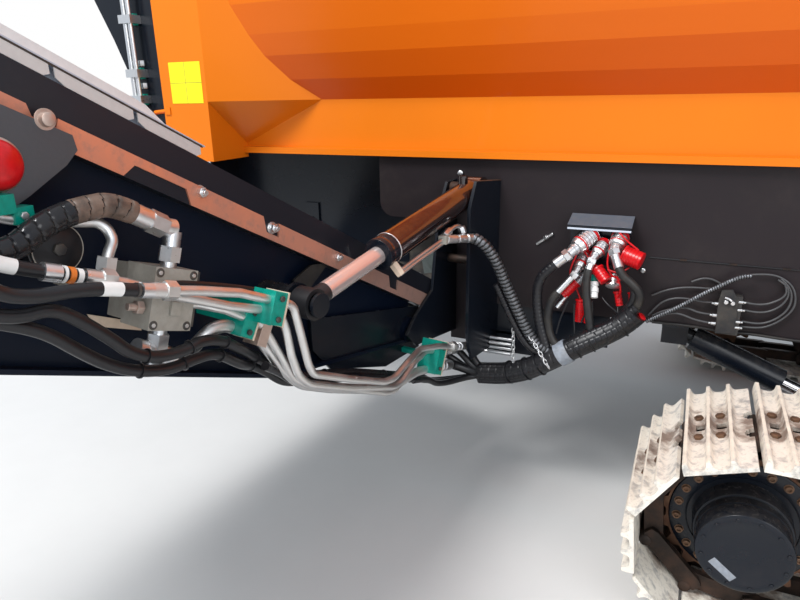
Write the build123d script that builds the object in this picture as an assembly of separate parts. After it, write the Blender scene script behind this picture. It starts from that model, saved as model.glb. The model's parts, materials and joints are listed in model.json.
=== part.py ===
"""Front section of a tracked trommel screen.

Two crawler tracks carry a plate chassis.  On the chassis stand a feed hopper with
faceted, flared sides and its belt feeder.  A side conveyor with its luffing ram leaves
the near side at the front, with its valve block, rigid pipes and quick couplers.

Frame: millimetres, +X along the machine away from its front end, -Y the near side,
+Z up.  The origin is on the ground, midway between the tracks and their end wheels.
"""
from build123d import *
import os
from math import cos, hypot, pi, radians, sin, tan

# Clearances and plate thicknesses
SEAT = 0.3          # running or seating gap between pieces
CUT = 1             # how far a cutting tool runs past the face it cuts
PLATE = 10          # chassis and frame plate
SHEET = 8           # hopper plate

# Crawler tracks
SHOE_WIDTH = 500
SHOE_COUNT = 37
SHOE_PITCH = 190
SHOE_OUT = 30       # shoe face outside the chain's pin line
SHOE_PLATE = 12
SHOE_GAP = 5
GROUSER_HEIGHT = 25
GROUSER_TIP = 12
GROUSER_BASE = 24
GROUSERS = 3
WHEEL_X = 1310      # half the distance between a track's end wheels
TRACK_Y = 1100      # track centre from the machine's centre
LINK_TOP = 10       # top of the chain rails outside the pin line
LINK_FOOT = 52      # running face of the chain rails inside the pin line
CHAIN_LINK = 28     # thickness of each chain rail
CHAIN_GAP = 96      # clear width between the two chain rails
SPROCKET_TEETH = 19
TOOTH = 30          # height of a sprocket tooth
HUB_R = 128         # final drive housing
HUB_LENGTH = 118    # from the track's centre to the housing's face
CAP_R = 82
CAP_LENGTH = 22
ROLLER_R = 80
ROLLER_HALF = 82    # half length of a roller's tread
ROLLER_SPACE = 340
ROLLER_COUNT = 6
CARRIER_R = 55
CARRIER_X = 420
AXLE_R = 28
FRAME_CLEAR = 330   # from an end wheel's centre to the frame's box
FRAME_WIDTH = 260
FRAME_Z0 = 282
FRAME_Z1 = 440
YOKE_HALF = 60      # half height of the idler's yokes

# Chassis
SIDE_Y = 650        # outer face of the side plates
SILL_Z = 770        # bottom of the side plates
DECK_Z = 1350       # top of the side plates, under the hopper
NOTCH_Z = 1100      # raised bottom edge above the side conveyor's tail
FRONT_X = -2750     # front end of the side plates
NOTCH_X = -2330     # rear end of the raised bottom edge
RECESS_Y = 450      # outer face of the recessed front panels
NOSE_X = -3650      # front end of the chassis
REAR_X = 1650       # joint face to the drum section
FLANGE = 60
CORNER_R = 60
FLANGE_T = 20       # bolting frame's plate
FLANGE_BAR = 120    # width of the bolting frame's bars
BOLT_R = 13
BOLT_EDGE = 60      # bolt line from the bolting frame's edge
BOLT_Z = (850, 990, 1130, 1270)
NOSE_DROP = 80      # bottom of the front panels over the sill
CROSS_BEAM_X = (-600, 600)
CROSS_BEAM = 150
CROSS_BEAM_WIDTH = 200
PEDESTAL = 120
MEMBER_X = (-2250, -1150, 0, 1150)
MEMBER_WIDTH = 100
MEMBER_DEPTH = 160

# Tilt cylinder under the chassis: X and Z of its ends
TILT_Y = -560
TILT_TOP = (-1560, 725)
TILT_FOOT = (-745, 390)
TILT_BARREL_R = 45
TILT_ROD_R = 22

# Hopper
RAIL_Y = 655        # outer face of the hopper's bottom rail
RAIL_Z1 = 1572
RAIL_LIP = 27
RAIL_LIP_T = 26
HOPPER_X0 = -3410
RIM_Z = 2420
RIM_OUT = 45        # folded rim along the top edges
RIM_DEPTH = 60
POST_Y = 890        # outer face of the hopper posts
POST_WIDTH = 240
POST_Z0 = 1330
GUSSET_RUN = 403    # length of the gusset along the wall
GUSSET_DROP = 183   # fall of the gusset's underside to the post's corner
# Each facet of the flared wall: rise in mm and lean from upright in degrees
FACETS = ((80, 38), (92, 28), (80, 20), (109, 16), (120, 9))
THROAT_Y = 520      # opening of the rear wall
THROAT_Z = (1550, 2250)

# Belt feeder in the hopper's floor
FEEDER_HALF = 570   # half the belt's width
FEEDER_DRUM_R = 75
FEEDER_BELT_T = 12
FEEDER_Z = 1443     # drum centres
FEEDER_END = 120    # drum centres to the hopper's ends
FEEDER_X = (HOPPER_X0 + FEEDER_END, REAR_X - FEEDER_END)
FEEDER_RAIL_Y = 300
FEEDER_RAIL = 60
FEEDER_BARS = (-2900, -2100, -1300, -500, 300, 1100)

# Black end frame in front of the hopper's posts
COLUMN = 110
COLUMN_Y = 880
COLUMN_DEPTH = 100
WING_Y = 870
# Wing plate's outline: run ahead of the column, height
WING = ((0, 1520), (45, 1590), (73, 1666), (145, 1831), (228, 1995), (228, RIM_Z), (0, RIM_Z))
FRONT_PIPE_RUNS = (12, -14)
FRONT_PIPE_R = 10
FRONT_PIPE_Z = (1375, 2385)
FRONT_PORT = 40
FRONT_CLAMP_Z = (1585, 1690, 1900)

# Side conveyor
CONV_X = -2440      # near face of the conveyor beam where it leaves the chassis
CONV_Y = -763
CONV_TURN = 10      # degrees off square to the machine's side
CONV_INCLINE = 28.4
CONV_WIDTH = 800
BEAM_TOP = 866      # height of the beam's top edge at the tail
BEAM_DEPTH = 130    # measured upright
BEAM_T = 8
BEAM_START = -60
BEAM_RUN = 3150     # level distance of the beam's head end
BEAM_LIP = 45
STRIP_T = 5
STRIP_DEPTH = 58
BELT_ROOM = 70      # from the beam's outer face to the belt's edge
BELT_T = 9
DRUM_R = 55
DRUM_SHAFT_R = 22
DRUMS = (20, 3090)
IDLER_R = 30
IDLER_SHAFT_R = 10
# Places of the idler rollers out from the chassis, level distance
IDLERS = (373, 618, 875, 1099, 1430, 1730, 2030, 2330, 2630, 2930)
HINGE = (200, 730)  # luff hinge: out from the chassis, height
HINGE_R = 25
BOSS_R = 48
EAR_REACH = 60      # ears' edge round the hinge pin
# Under frame's lower edge: out from the chassis, height
UNDER_EDGE = ((180, 678), (880, 795), (1640, 1105))
UNDER_END = 2500
RIM_T = 12
# Cross tubes of the under frame: out from the chassis, height
TIES = ((620, 850), (1180, 985), (1640, 1160), (2200, 1810))
TIE_R = 30
SKIRT_START = 500
SKIRT_HEIGHT = 280
SKIRT_LIP = 60
SKIRT_T = 5
MOTOR_R = 60
MOTOR_LENGTH = 120

# Luffing ram
RAM_BASE = (-60, 1242)
RAM_EYE = (880, 1053)
RAM_LANE = 120      # ram's centre line beside the near beam's face
BARREL_R = 50
BARREL_START = 48   # from the base pin
GLAND = 625
ROD_R = 28
ROD_TAIL = 345      # inner end of the rod from the base pin, at rest
RAM_PIN_R = 22
EYE_R = 46
EYE_HALF = 35
EYE_PLAY = 9        # slack of the rod's eye round its pin, at the linkage's open pivot
EAR_OUT = 55        # inner face of the outer ear from the ram's centre line
EAR_IN = 8          # inner face of the inner ear from the beam's face
EAR_T = 12
# Outlines of the ears: out from the chassis, height
OUTER_EAR = ((-200, 600), (60, 600), (95, 700), (95, 1190), (40, 1292), (-200, 1292))
INNER_EAR_FOOT = (-200, 640)
INNER_EAR_TOP = ((80, 860), (20, 1292), (-200, 1292))
BRACKET_X = (-2425, -2130)
BRACKET_Z = (600, 1292)
FAR_EAR_REAR = ((-260, 1100), (-260, 780))
STAY_TUBE = (-46, 965)
STAY_TUBE_R = 17
SPROCKET_ROOM = 6   # from the chain rails to the teeth's root
DISH_R = 150
IDLER_HALF = 76     # half width of the idler's tread
GUIDE = 22          # height of its guide rim between the chain rails
TILT_PIN_R = 14
TILT_SHARE = 0.45   # share of the cylinder's length up to its gland

STRIP_NOTCH = 42    # width of the strip's notches
# Strip's notches: distance out, depth of the notch's floor under the beam's top edge
STRIP_NOTCHES = ((320, 112), (880, 112), (1436, 92), (1992, 112), (2548, 112))
STRIP_RAISE = (1131, 1262)
STRIP_RAISED = 95   # strip's lower edge there, under the beam's top edge
SKIRT_GAP = 70      # from the beam's top edge up to the board
SKIRT_POST_SPACE = 600
MOTOR_FLANGE_T = 20
PORT_AT = 90        # ram's oil port from the base pin
PORT_HEIGHT = 26
PORT_R = 17
EAR_CUT = 600       # reach of the block that trims the ears at the chassis
EAR_BACK = 30       # back plate past the ear's root

# Bends of pipes and hoses
BEND_SHARE = 0.42   # share of the shorter run that a corner may take
BEND_MOST = 9       # largest bend radius in pipe radii

# Valve on the under frame: place out and height, tilt, half length and half height
VALVE_AT = (1290.5, 1176.5)
VALVE_TILT = 18
VALVE_HALF = (53, 67.5)
VALVE_SPLIT = 20    # from the dark base to the pale body
VALVE_OUT = 120
VALVE_LANE = 90     # its ports' plane
VALVE_PORT_X = 4
BIG_NUT = (66, 161)  # inner and outer end of the big hose's sleeve, in the valve's frame
BIG_END = (105, 170)
ACTUATOR_AT = (1470, 1316)
ACTUATOR_R = 50
ACTUATOR_OUT = 36
PORT_BLOCK = ((132, 172), (0, 38))   # in the valve's frame
PORT_BLOCK_OUT = 118


def valve_point(x, z):
    """Place on the conveyor of a point in the valve's ports' plane."""
    turn = radians(VALVE_TILT)
    out = VALVE_AT[0] + x * cos(turn) - z * sin(turn)
    return (out, VALVE_LANE, VALVE_AT[1] + x * sin(turn) + z * cos(turn))


# Ends of the fat pipe's port under the valve, in the valve's frame
FAT_PORT = ((4, -120), (-30, -128))
FAT_START = valve_point(*FAT_PORT[1])
FAT_RUN = valve_point(-60.6, -135.2)
# Rigid pipes: radius, corners (out, across, height), sleeve before the nut, end nut
PIPES = (
    (11, ((1486, 150, 1281), (1454, 150, 1269), (1412, 150, 1250), (1340, 150, 1212), (1290, 150, 1188),
          (1236, 153, 1164), (1173, 157, 1135), (1095, 162, 1106), (1025, 162, 1075), (1009, 162, 1025),
          (998, 162, 952), (976, 162, 881), (937, 162, 844), (769, 162, 763), (548, 162, 675),
          (495, 158, 676), (395, 140, 702), (283, 118, 700), (160, 118, 656)), 28, 24),
    (11, ((1379, 182, 1232), (1344, 182, 1222), (1264, 180, 1200), (1159, 180, 1167), (1099, 184, 1139),
          (1038, 186, 1112), (1002, 186, 1093), (984, 186, 1016), (963, 186, 920), (947, 186, 884),
          (796, 186, 809), (633, 186, 734), (577, 184, 724), (473, 168, 738), (366, 146, 742),
          (255, 154, 716), (150, 158, 678)), 28, 24),
    (11, ((1242.7, 105, 1152), (1223.7, 105, 1145.8), (1195, 132, 1134), (1172, 137, 1124),
          (1119, 137, 1088), (1076, 137, 1067), (1043, 137, 1009), (1001, 137, 927), (970, 137, 866),
          (919, 137, 827), (740, 137, 741), (560, 137, 652), (500, 137, 640), (430, 128, 668),
          (360, 100, 674), (290, 80, 668), (170, 74, 628)), 0, 24),
    (16, (FAT_START, FAT_RUN, (1245, 98, 1042), (1222, 105, 1062), (1194, 108, 1076), (1156, 108, 1074),
          (1098, 108, 1040), (1056, 108, 1010), (1021, 108, 956), (977, 108, 888), (920, 108, 823),
          (798, 108, 761), (525, 108, 641), (440, 106, 632), (330, 104, 630), (180, 104, 596)), 0, 30),
    (11, ((1421.4, 98, 1259), (1408.4, 98, 1298.9), (1388, 90, 1323), (1389, 80, 1345), (1403, 72, 1361),
          (1434, 63, 1366), (1461, 55, 1370), (1555, 48, 1390), (1640, 46, 1440), (1720, 46, 1540),
          (1755, 46, 1560), (1800, 46, 1560)), 12, 0),
)
# Clamps: out, across and height from and to, tilt
CLAMPS = (
    ((1050, 1086), (132, 206), (1066, 1146), 22),
    ((1090, 1128), (84, 150), (1036, 1112), 30),
    ((208, 250), (70, 150), (596, 718), 24),
)
# Junction block: out, across and height from and to
TERMINAL = ((1800, 1880), (-45, 200), (1395, 1640))
# Pipes up to the motor: depth under the beam's top edge, height at the junction block
MOTOR_LINES = ((16, 1620), (48, 1580))
MOTOR_LINE_R = 11


BIG_START = valve_point(*BIG_END)
BIG_RUN = valve_point(*(end + 1.2 * (end - nut) for end, nut in zip(BIG_END, BIG_NUT)))
# Two thin hoses along the under frame, from the hinge up to the valve
UPPER_RUN = ((300, 62, 548), (457, 62, 592), (662, 62, 672), (859, 62, 775), (920, 64, 822), (962, 66, 872),
             (1008, 70, 915), (1068, 84, 962), (1130, 120, 1008), (1197, 142, 1058), (1257, 150, 1078),
             (1313, 152, 1070), (1380, 152, 1081), (1429, 152, 1112), (1457, 152, 1147), (1511, 152, 1204),
             (1558, 152, 1242))
LOWER_RUN = ((300, 32, 532), (440, 32, 565), (627, 32, 642), (830, 32, 740), (893, 32, 784), (931, 34, 822),
             (978, 36, 868), (1036, 46, 910), (1114, 104, 954), (1198, 122, 1022), (1261, 130, 1032),
             (1333, 132, 1032), (1402, 132, 1054), (1462, 130, 1090), (1514, 130, 1139), (1561, 128, 1190))
# Hoses: radius, corners (out, across, height)
HOSES = (
    (24, (BIG_START, BIG_RUN, (1430, 90, 1408), (1478, 90, 1406), (1525, 90, 1396),
          (1570, 90, 1378), (1640, 95, 1392), (1700, 100, 1452), (1755, 100, 1500), (1800, 100, 1500))),
    (13.5, ((1486, 150, 1281), (1534, 150, 1299), (1586, 150, 1319), (1650, 150, 1350), (1710, 152, 1430),
            (1755, 155, 1480), (1800, 155, 1480))),
    (13.5, ((1379, 182, 1232), (1421, 182, 1244), (1478, 182, 1262), (1532, 182, 1272), (1600, 182, 1278),
            (1655, 182, 1300), (1712, 182, 1380), (1755, 182, 1435), (1800, 182, 1435))),
    (14, UPPER_RUN + ((1613, 150, 1240), (1665, 146, 1262), (1715, 142, 1360), (1755, 140, 1420),
                      (1800, 140, 1420))),
    (14, LOWER_RUN + ((1609, 122, 1220), (1665, 110, 1245), (1715, 100, 1350), (1755, 95, 1418),
                      (1800, 95, 1418))),
)

# Rounded plate over the hoses: outline out and height
GUSSET_PLATE = ((1399, 1525), (1394, 1496), (1420, 1470), (1498, 1422), (1555, 1392), (1610, 1400),
                (1760, 1500), (1800, 1560), (1790, 1700), (1514, 1583))
GUSSET_Y = 20
GUSSET_T = 8
GUSSET_FEET = (1560, 1740)
DOME_AT = (1552, 1484)
DOME_R = 46
DOME_COLLAR = 14
DOME_LENGTH = 34

# Coupler box on the side plate
COUPLER_BOX = (-1953, -1736)
BOX_LID = ((-650, 1158), (-745, 1132), (-745, 1118), (-735, 1118), (-735, 1124), (-650, 1148))
BOX_DEPTH = 50
BOX_Z = (985, 1146)
# Couplers: corners from the box outwards
COUPLERS = (
    ((-1869, -700, 1100), (-1869, -716, 1100), (-1896, -752, 1073), (-1935, -799, 1037), (-1976, -810, 1000)),
    ((-1824, -700, 1070), (-1824, -716, 1070), (-1830, -740, 1057), (-1855, -774, 1018), (-1862, -790, 985)),
    ((-1886, -700, 1025), (-1886, -716, 1025), (-1892, -745, 1014), (-1907, -790, 965), (-1960, -812, 897)),
    ((-1772, -700, 1096), (-1772, -716, 1096), (-1775, -735, 1088), (-1784, -770, 1056), (-1760, -799, 1004)),
)
COUPLER_RADII = (14, 17, 22, 16)
# Dust caps: middle X, Y, Z, radius, half length
CAPS = ((-1724, -740, 1030, 30, 26), (-1928, -745, 897, 26, 22), (-1872, -745, 826, 24, 22),
        (-1811, -745, 935, 26, 22), (-1762, -735, 871, 20, 20), (-1694, -725, 793, 18, 18))
# Wrapped bundle: radius and corners
BUNDLE = (44, ((-2249, -800, 526), (-2163, -810, 540), (-2080, -830, 570), (-1985, -839, 629),
               (-1883, -835, 706), (-1803, -815, 750), (-1725, -800, 800), (-1690, -795, 845)))
# Hoses into the bundle: radius and corners
COUPLER_HOSES = (
    (18, ((-1976, -810, 1000), (-1996.5, -815.5, 981.5), (-2030, -816, 940), (-2035, -818, 860),
          (-2010, -830, 740), (-1970, -838, 650))),
    (15, ((-1960, -812, 897), (-1975.9, -818.6, 876.6), (-1990, -822, 830), (-1985, -822, 750),
          (-1950, -832, 690), (-1900, -836, 690))),
    (15, ((-1862, -790, 985), (-1865.5, -798, 968.5), (-1864, -804, 913), (-1850, -812, 840),
          (-1830, -818, 745))),
    (15, ((-1760, -799, 1004), (-1750.4, -810.6, 983.2), (-1715, -812, 960), (-1680, -802, 920),
          (-1690, -795, 860), (-1730, -795, 800))),
)
BUNDLE_STAYS = ((-1960, 790), (-1750, 795))
STAY_Y = -800
GREASE_BLOCK = (-1432, -1362, 772, 912)
GREASE_OUT = 38
GREASE_LINES = (
    (4, ((-1370, -670, 905), (-1300, -690, 985), (-1225, -680, 917), (-1252, -680, 807), (-1370, -672, 790))),
    (4, ((-1370, -670, 880), (-1310, -684, 930), (-1262, -676, 900), (-1290, -676, 830), (-1370, -672, 815))),
)


def up_slab(points, y0, y1):
    """Extrude an outline given in X and Z from y0 to y1."""
    face = make_face(Polyline(*[(x, y0, z) for x, z in points], close=True))
    return extrude(face, amount=y1 - y0, dir=(0, 1, 0))


def cross_slab(points, x0, x1):
    """Extrude an outline given in Y and Z from x0 to x1."""
    face = make_face(Polyline(*[(x0, y, z) for y, z in points], close=True))
    return extrude(face, amount=x1 - x0, dir=(1, 0, 0))


def flat_slab(points, z0, z1):
    """Extrude an outline given in X and Y from z0 to z1."""
    face = make_face(Polyline(*[(x, y, z0) for x, y in points], close=True))
    return extrude(face, amount=z1 - z0, dir=(0, 0, 1))


def block(x0, x1, y0, y1, z0, z1):
    """A box between two corners, given in either order."""
    centre = Location(((x0 + x1) / 2, (y0 + y1) / 2, (z0 + z1) / 2))
    return centre * Box(abs(x1 - x0), abs(y1 - y0), abs(z1 - z0))


def bar(start, end, radius):
    """A round bar between two points."""
    p, q = Vector(*start), Vector(*end)
    return Solid.make_cylinder(radius, (q - p).length, Plane(origin=p, z_dir=q - p))


def pin_y(x, z, y0, y1, radius):
    """A round pin along Y."""
    return bar((x, min(y0, y1), z), (x, max(y0, y1), z), radius)


def tube_run(points, radius):
    """A round pipe or hose along a route, its corners as round as their runs leave room for."""
    corners = [Vector(*p) for p in points]
    runs = [(b - a).length for a, b in zip(corners, corners[1:])]
    bends = []
    for i in range(1, len(corners) - 1):
        turn = (corners[i] - corners[i - 1]).get_angle(corners[i + 1] - corners[i])
        room = BEND_SHARE * min(runs[i - 1], runs[i])
        bends.append(min(room / tan(radians(turn) / 2), BEND_MOST * radius))
    path = FilletPolyline(*corners, radius=bends) if bends else Line(*corners)
    section = Plane(origin=path @ 0, z_dir=path % 0) * Circle(radius)
    return sweep(section, path=path)


def far_side(shape):
    """The same piece on the machine's far side."""
    return mirror(shape, about=Plane.XZ)


def union(shapes):
    """Fuse a list of shapes."""
    shapes = list(shapes)
    body = shapes[0]
    for other in shapes[1:]:
        body = body + other
    return body


def write(name, *shapes):
    """Write one node as a STEP file."""
    solids = [solid for shape in shapes for solid in shape.solids()]
    export_step(Compound(children=solids) if len(solids) > 1 else solids[0], f"parts/{name}.step")


# Crawler tracks

def pin_radius():
    """Radius of the chain's pin line round an end wheel."""
    return (SHOE_COUNT * SHOE_PITCH - 4 * WHEEL_X) / (2 * pi)


def track_axle_z():
    """Height of the end wheels' centres."""
    return pin_radius() + SHOE_OUT + GROUSER_HEIGHT


def chord_inside():
    """Distance from an end wheel's centre to the chain rails that turn round it."""
    return pin_radius() * cos(SHOE_PITCH / 2 / pin_radius()) - LINK_FOOT


def run_inside():
    """Height of the chain rails' running face over the wheel centres on the straight runs."""
    return pin_radius() - LINK_FOOT


def chain_pin(s):
    """Place of a chain pin at run s along the loop."""
    radius, straight = pin_radius(), 2 * WHEEL_X
    arc = pi * radius
    z0 = track_axle_z()
    s = s % (2 * straight + 2 * arc)
    if s < straight:
        return Vector(-WHEEL_X + s, 0, z0 + radius)
    s -= straight
    if s < arc:
        a = pi / 2 - s / radius
        return Vector(WHEEL_X + radius * cos(a), 0, z0 + radius * sin(a))
    s -= arc
    if s < straight:
        return Vector(WHEEL_X - s, 0, z0 - radius)
    a = -pi / 2 - (s - straight) / radius
    return Vector(-WHEEL_X + radius * cos(a), 0, z0 + radius * sin(a))


def chain_outline(height):
    """Closed outline along the chain's links, at a height outside its pin line."""
    pins = [chain_pin(i * SHOE_PITCH) for i in range(SHOE_COUNT)]
    points = []
    for i, pin in enumerate(pins):
        before = (pin - pins[i - 1]).normalized()
        after = (pins[(i + 1) % SHOE_COUNT] - pin).normalized()
        if before.dot(after) > 0.9999:
            continue
        out = Vector(-before.Z - after.Z, 0, before.X + after.X)
        corner = pin + out * (height / (1 + before.dot(after)))
        points.append((corner.X, corner.Z))
    return points


def shoe_outline():
    """Run and height of one shoe's outline, from its leading to its trailing edge."""
    half = (SHOE_PITCH - SHOE_GAP) / 2
    outline = [(-half, -SHOE_PLATE), (-half, 0)]
    spacing = (2 * half - GROUSER_BASE) / (GROUSERS - 1)
    for i in range(GROUSERS):
        centre = -half + GROUSER_BASE / 2 + i * spacing
        if i > 0:
            outline.append((centre - GROUSER_BASE / 2, 0))
        outline.append((centre - GROUSER_TIP / 2, GROUSER_HEIGHT))
        outline.append((centre + GROUSER_TIP / 2, GROUSER_HEIGHT))
        if i < GROUSERS - 1:
            outline.append((centre + GROUSER_BASE / 2, 0))
    return outline + [(half, 0), (half, -SHOE_PLATE)]


def track_loop(y):
    """The closed loop of shoes with the two chain rails inside it."""
    outline = []
    for i in range(SHOE_COUNT):
        a, b = chain_pin(i * SHOE_PITCH), chain_pin((i + 1) * SHOE_PITCH)
        along = (b - a).normalized()
        out = Vector(-along.Z, 0, along.X)
        for run, height in shoe_outline():
            point = (a + b) / 2 + along * run + out * (SHOE_OUT + height)
            outline.append((point.X, point.Z))
    y0, y1 = y - SHOE_WIDTH / 2, y + SHOE_WIDTH / 2
    shoes = up_slab(outline, y0, y1) - up_slab(chain_outline(LINK_TOP), y0 - CUT, y1 + CUT)
    rails = []
    for side in (-1, 1):
        ends = (y + side * CHAIN_GAP / 2, y + side * (CHAIN_GAP / 2 + CHAIN_LINK))
        lo, hi = min(ends), max(ends)
        rail = up_slab(chain_outline(LINK_TOP + 2), lo, hi)
        rails.append(rail - up_slab(chain_outline(-LINK_FOOT), lo - CUT, hi + CUT))
    return union([shoes] + rails)


def sprocket(y, out):
    """Toothed drive wheel with its final drive; out is -1 or 1 towards the outside."""
    z0 = track_axle_z()
    root = chord_inside() - SPROCKET_ROOM
    tip = root + TOOTH
    half = CHAIN_GAP / 2 - 8
    profile = []
    for i in range(SPROCKET_TEETH):
        for part, r in ((0.0, root), (0.22, tip), (0.42, tip), (0.64, root)):
            a = 2 * pi * (i + part) / SPROCKET_TEETH
            profile.append((-WHEEL_X + r * cos(a), z0 + r * sin(a)))
    ring = up_slab(profile, y - half, y + half)
    dish = pin_y(-WHEEL_X, z0, y + out * (half + CUT), y - out * 10, DISH_R)
    face = y + out * HUB_LENGTH
    hub = pin_y(-WHEEL_X, z0, y - out * HUB_LENGTH, face, HUB_R)
    cap = pin_y(-WHEEL_X, z0, face, face + out * CAP_LENGTH, CAP_R)
    return union([ring - dish, hub, cap])


def idler(y):
    """Front idler wheel with its axle."""
    z0 = track_axle_z()
    r = chord_inside() - SEAT
    wheel = pin_y(WHEEL_X, z0, y - IDLER_HALF, y + IDLER_HALF, r)
    guide = pin_y(WHEEL_X, z0, y - IDLER_HALF / 2, y + IDLER_HALF / 2, r + GUIDE)
    return wheel + guide + pin_y(WHEEL_X, z0, y - HUB_LENGTH, y + HUB_LENGTH, YOKE_HALF - 15)


def track_frame(y, out):
    """Box frame with the plates that hold the final drive and the idler."""
    z0 = track_axle_z()
    half = FRAME_WIDTH / 2
    end = WHEEL_X - FRAME_CLEAR
    parts = [block(-end, end, y - half, y + half, FRAME_Z0, FRAME_Z1)]
    for side in (-1, 1):
        a, b = y + side * (HUB_LENGTH + SEAT), y + side * half
        parts.append(block(end, WHEEL_X + YOKE_HALF, a, b, z0 - YOKE_HALF, z0 + YOKE_HALF))
    a, b = y - out * (HUB_LENGTH + SEAT), y - out * (half + 20)
    parts.append(block(-WHEEL_X - HUB_R * 0.8, -end + 5, a, b, FRAME_Z0, FRAME_Z1))
    return union(parts)


def rollers(y):
    """Bottom rollers with their end collars, and the two carrier rollers."""
    z0 = track_axle_z()
    zb = z0 - run_inside() + ROLLER_R + SEAT
    zt = z0 + run_inside() - CARRIER_R - SEAT
    foot = ROLLER_HALF + 10
    out = []
    for i in range(ROLLER_COUNT):
        x = (i - (ROLLER_COUNT - 1) / 2) * ROLLER_SPACE
        wheel = pin_y(x, zb, y - ROLLER_HALF, y + ROLLER_HALF, ROLLER_R)
        axle = pin_y(x, zb, y - foot - 8, y + foot + 8, AXLE_R)
        collars = [block(x - 35, x + 35, y + s * (foot - 4), y + s * (foot + 28), zb - 35, FRAME_Z0)
                   for s in (-1, 1)]
        out.append(union([wheel, axle] + collars))
    for x in (-CARRIER_X, CARRIER_X):
        wheel = pin_y(x, zt, y - ROLLER_HALF, y + ROLLER_HALF, CARRIER_R)
        stand = block(x - 30, x + 30, y + foot, y + foot + 30, FRAME_Z1, zt + 25)
        out.append(union([wheel, pin_y(x, zt, y, y + foot + 8, AXLE_R - 6), stand]))
    return out


def build_tracks():
    for name, y, out in (("near", -TRACK_Y, -1), ("far", TRACK_Y, 1)):
        write(f"track_loop_{name}", track_loop(y))
        write(f"track_frame_{name}", track_frame(y, out))
        write(f"drive_wheel_{name}", sprocket(y, out))
        write(f"idler_wheel_{name}", idler(y))
        write(f"track_rollers_{name}", *rollers(y))


# Chassis

def track_beams():
    """Two cross beams between the track frames, with pedestals up to the chassis."""
    inner = TRACK_Y - FRAME_WIDTH / 2
    half = CROSS_BEAM_WIDTH / 2
    shapes = []
    for x in CROSS_BEAM_X:
        h = CROSS_BEAM / 2
        parts = [block(x - half, x + half, -inner, inner, FRAME_Z0 + 8, FRAME_Z1)]
        for s in (-1, 1):
            a, b = s * (SIDE_Y - FLANGE), s * (SIDE_Y - FLANGE - PEDESTAL)
            parts.append(block(x - h, x + h, a, b, FRAME_Z1, SILL_Z))
        shapes.append(union(parts))
    return shapes


def chassis_side():
    """Near side plate with its bottom flange and the raised edge over the conveyor."""
    y0 = -SIDE_Y
    end = REAR_X - FLANGE_T
    centre_x, centre_z = FRONT_X + CORNER_R, NOTCH_Z + CORNER_R
    outline = [(FRONT_X, DECK_Z)]
    for i in range(7):
        a = pi + i * pi / 12
        outline.append((centre_x + CORNER_R * cos(a), centre_z + CORNER_R * sin(a)))
    outline += [(NOTCH_X, NOTCH_Z), (NOTCH_X, SILL_Z), (end, SILL_Z), (end, DECK_Z)]
    plate = up_slab(outline, y0, y0 + PLATE)
    bottom = block(NOTCH_X, end, y0 + PLATE, y0 + FLANGE, SILL_Z, SILL_Z + PLATE)
    top = block(FRONT_X, end, y0 + PLATE, y0 + FLANGE, DECK_Z - PLATE, DECK_Z)
    return union([plate, bottom, top])


def recess_panel():
    """Recessed side panel at the front, with the return plate to the side plate."""
    y0 = -RECESS_Y
    x1 = FRONT_X + 40
    panel = block(NOSE_X + PLATE, x1, y0, y0 + PLATE, SILL_Z + NOSE_DROP, DECK_Z)
    turn = block(x1, x1 + PLATE, -SIDE_Y + PLATE, y0 + PLATE, NOTCH_Z + NOSE_DROP, DECK_Z - PLATE)
    return union([panel, turn])


def cross_members():
    """Cross members between the side plates."""
    y, half = SIDE_Y - PLATE, MEMBER_WIDTH / 2
    z = SILL_Z + PLATE
    return [block(x - half, x + half, -y, y, z, z + MEMBER_DEPTH) for x in MEMBER_X]


def nose_plate():
    """Upright end plate at the front of the chassis."""
    y = SIDE_Y - PLATE
    return block(NOSE_X, NOSE_X + PLATE, -y, y, SILL_Z + NOSE_DROP, DECK_Z)


def rear_flange():
    """Bolting frame where the drum section joins."""
    y, x0 = SIDE_Y, REAR_X - FLANGE_T
    frame = block(x0, REAR_X, -y, y, SILL_Z, DECK_Z)
    window = y - FLANGE_BAR
    frame = frame - block(x0 - CUT, REAR_X + CUT, -window, window, SILL_Z + FLANGE_BAR, DECK_Z - FLANGE_BAR)
    for side in (-1, 1):
        for z in BOLT_Z:
            at = side * (y - BOLT_EDGE)
            frame = frame - bar((x0 - CUT, at, z), (REAR_X + CUT, at, z), BOLT_R)
    return frame


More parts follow.
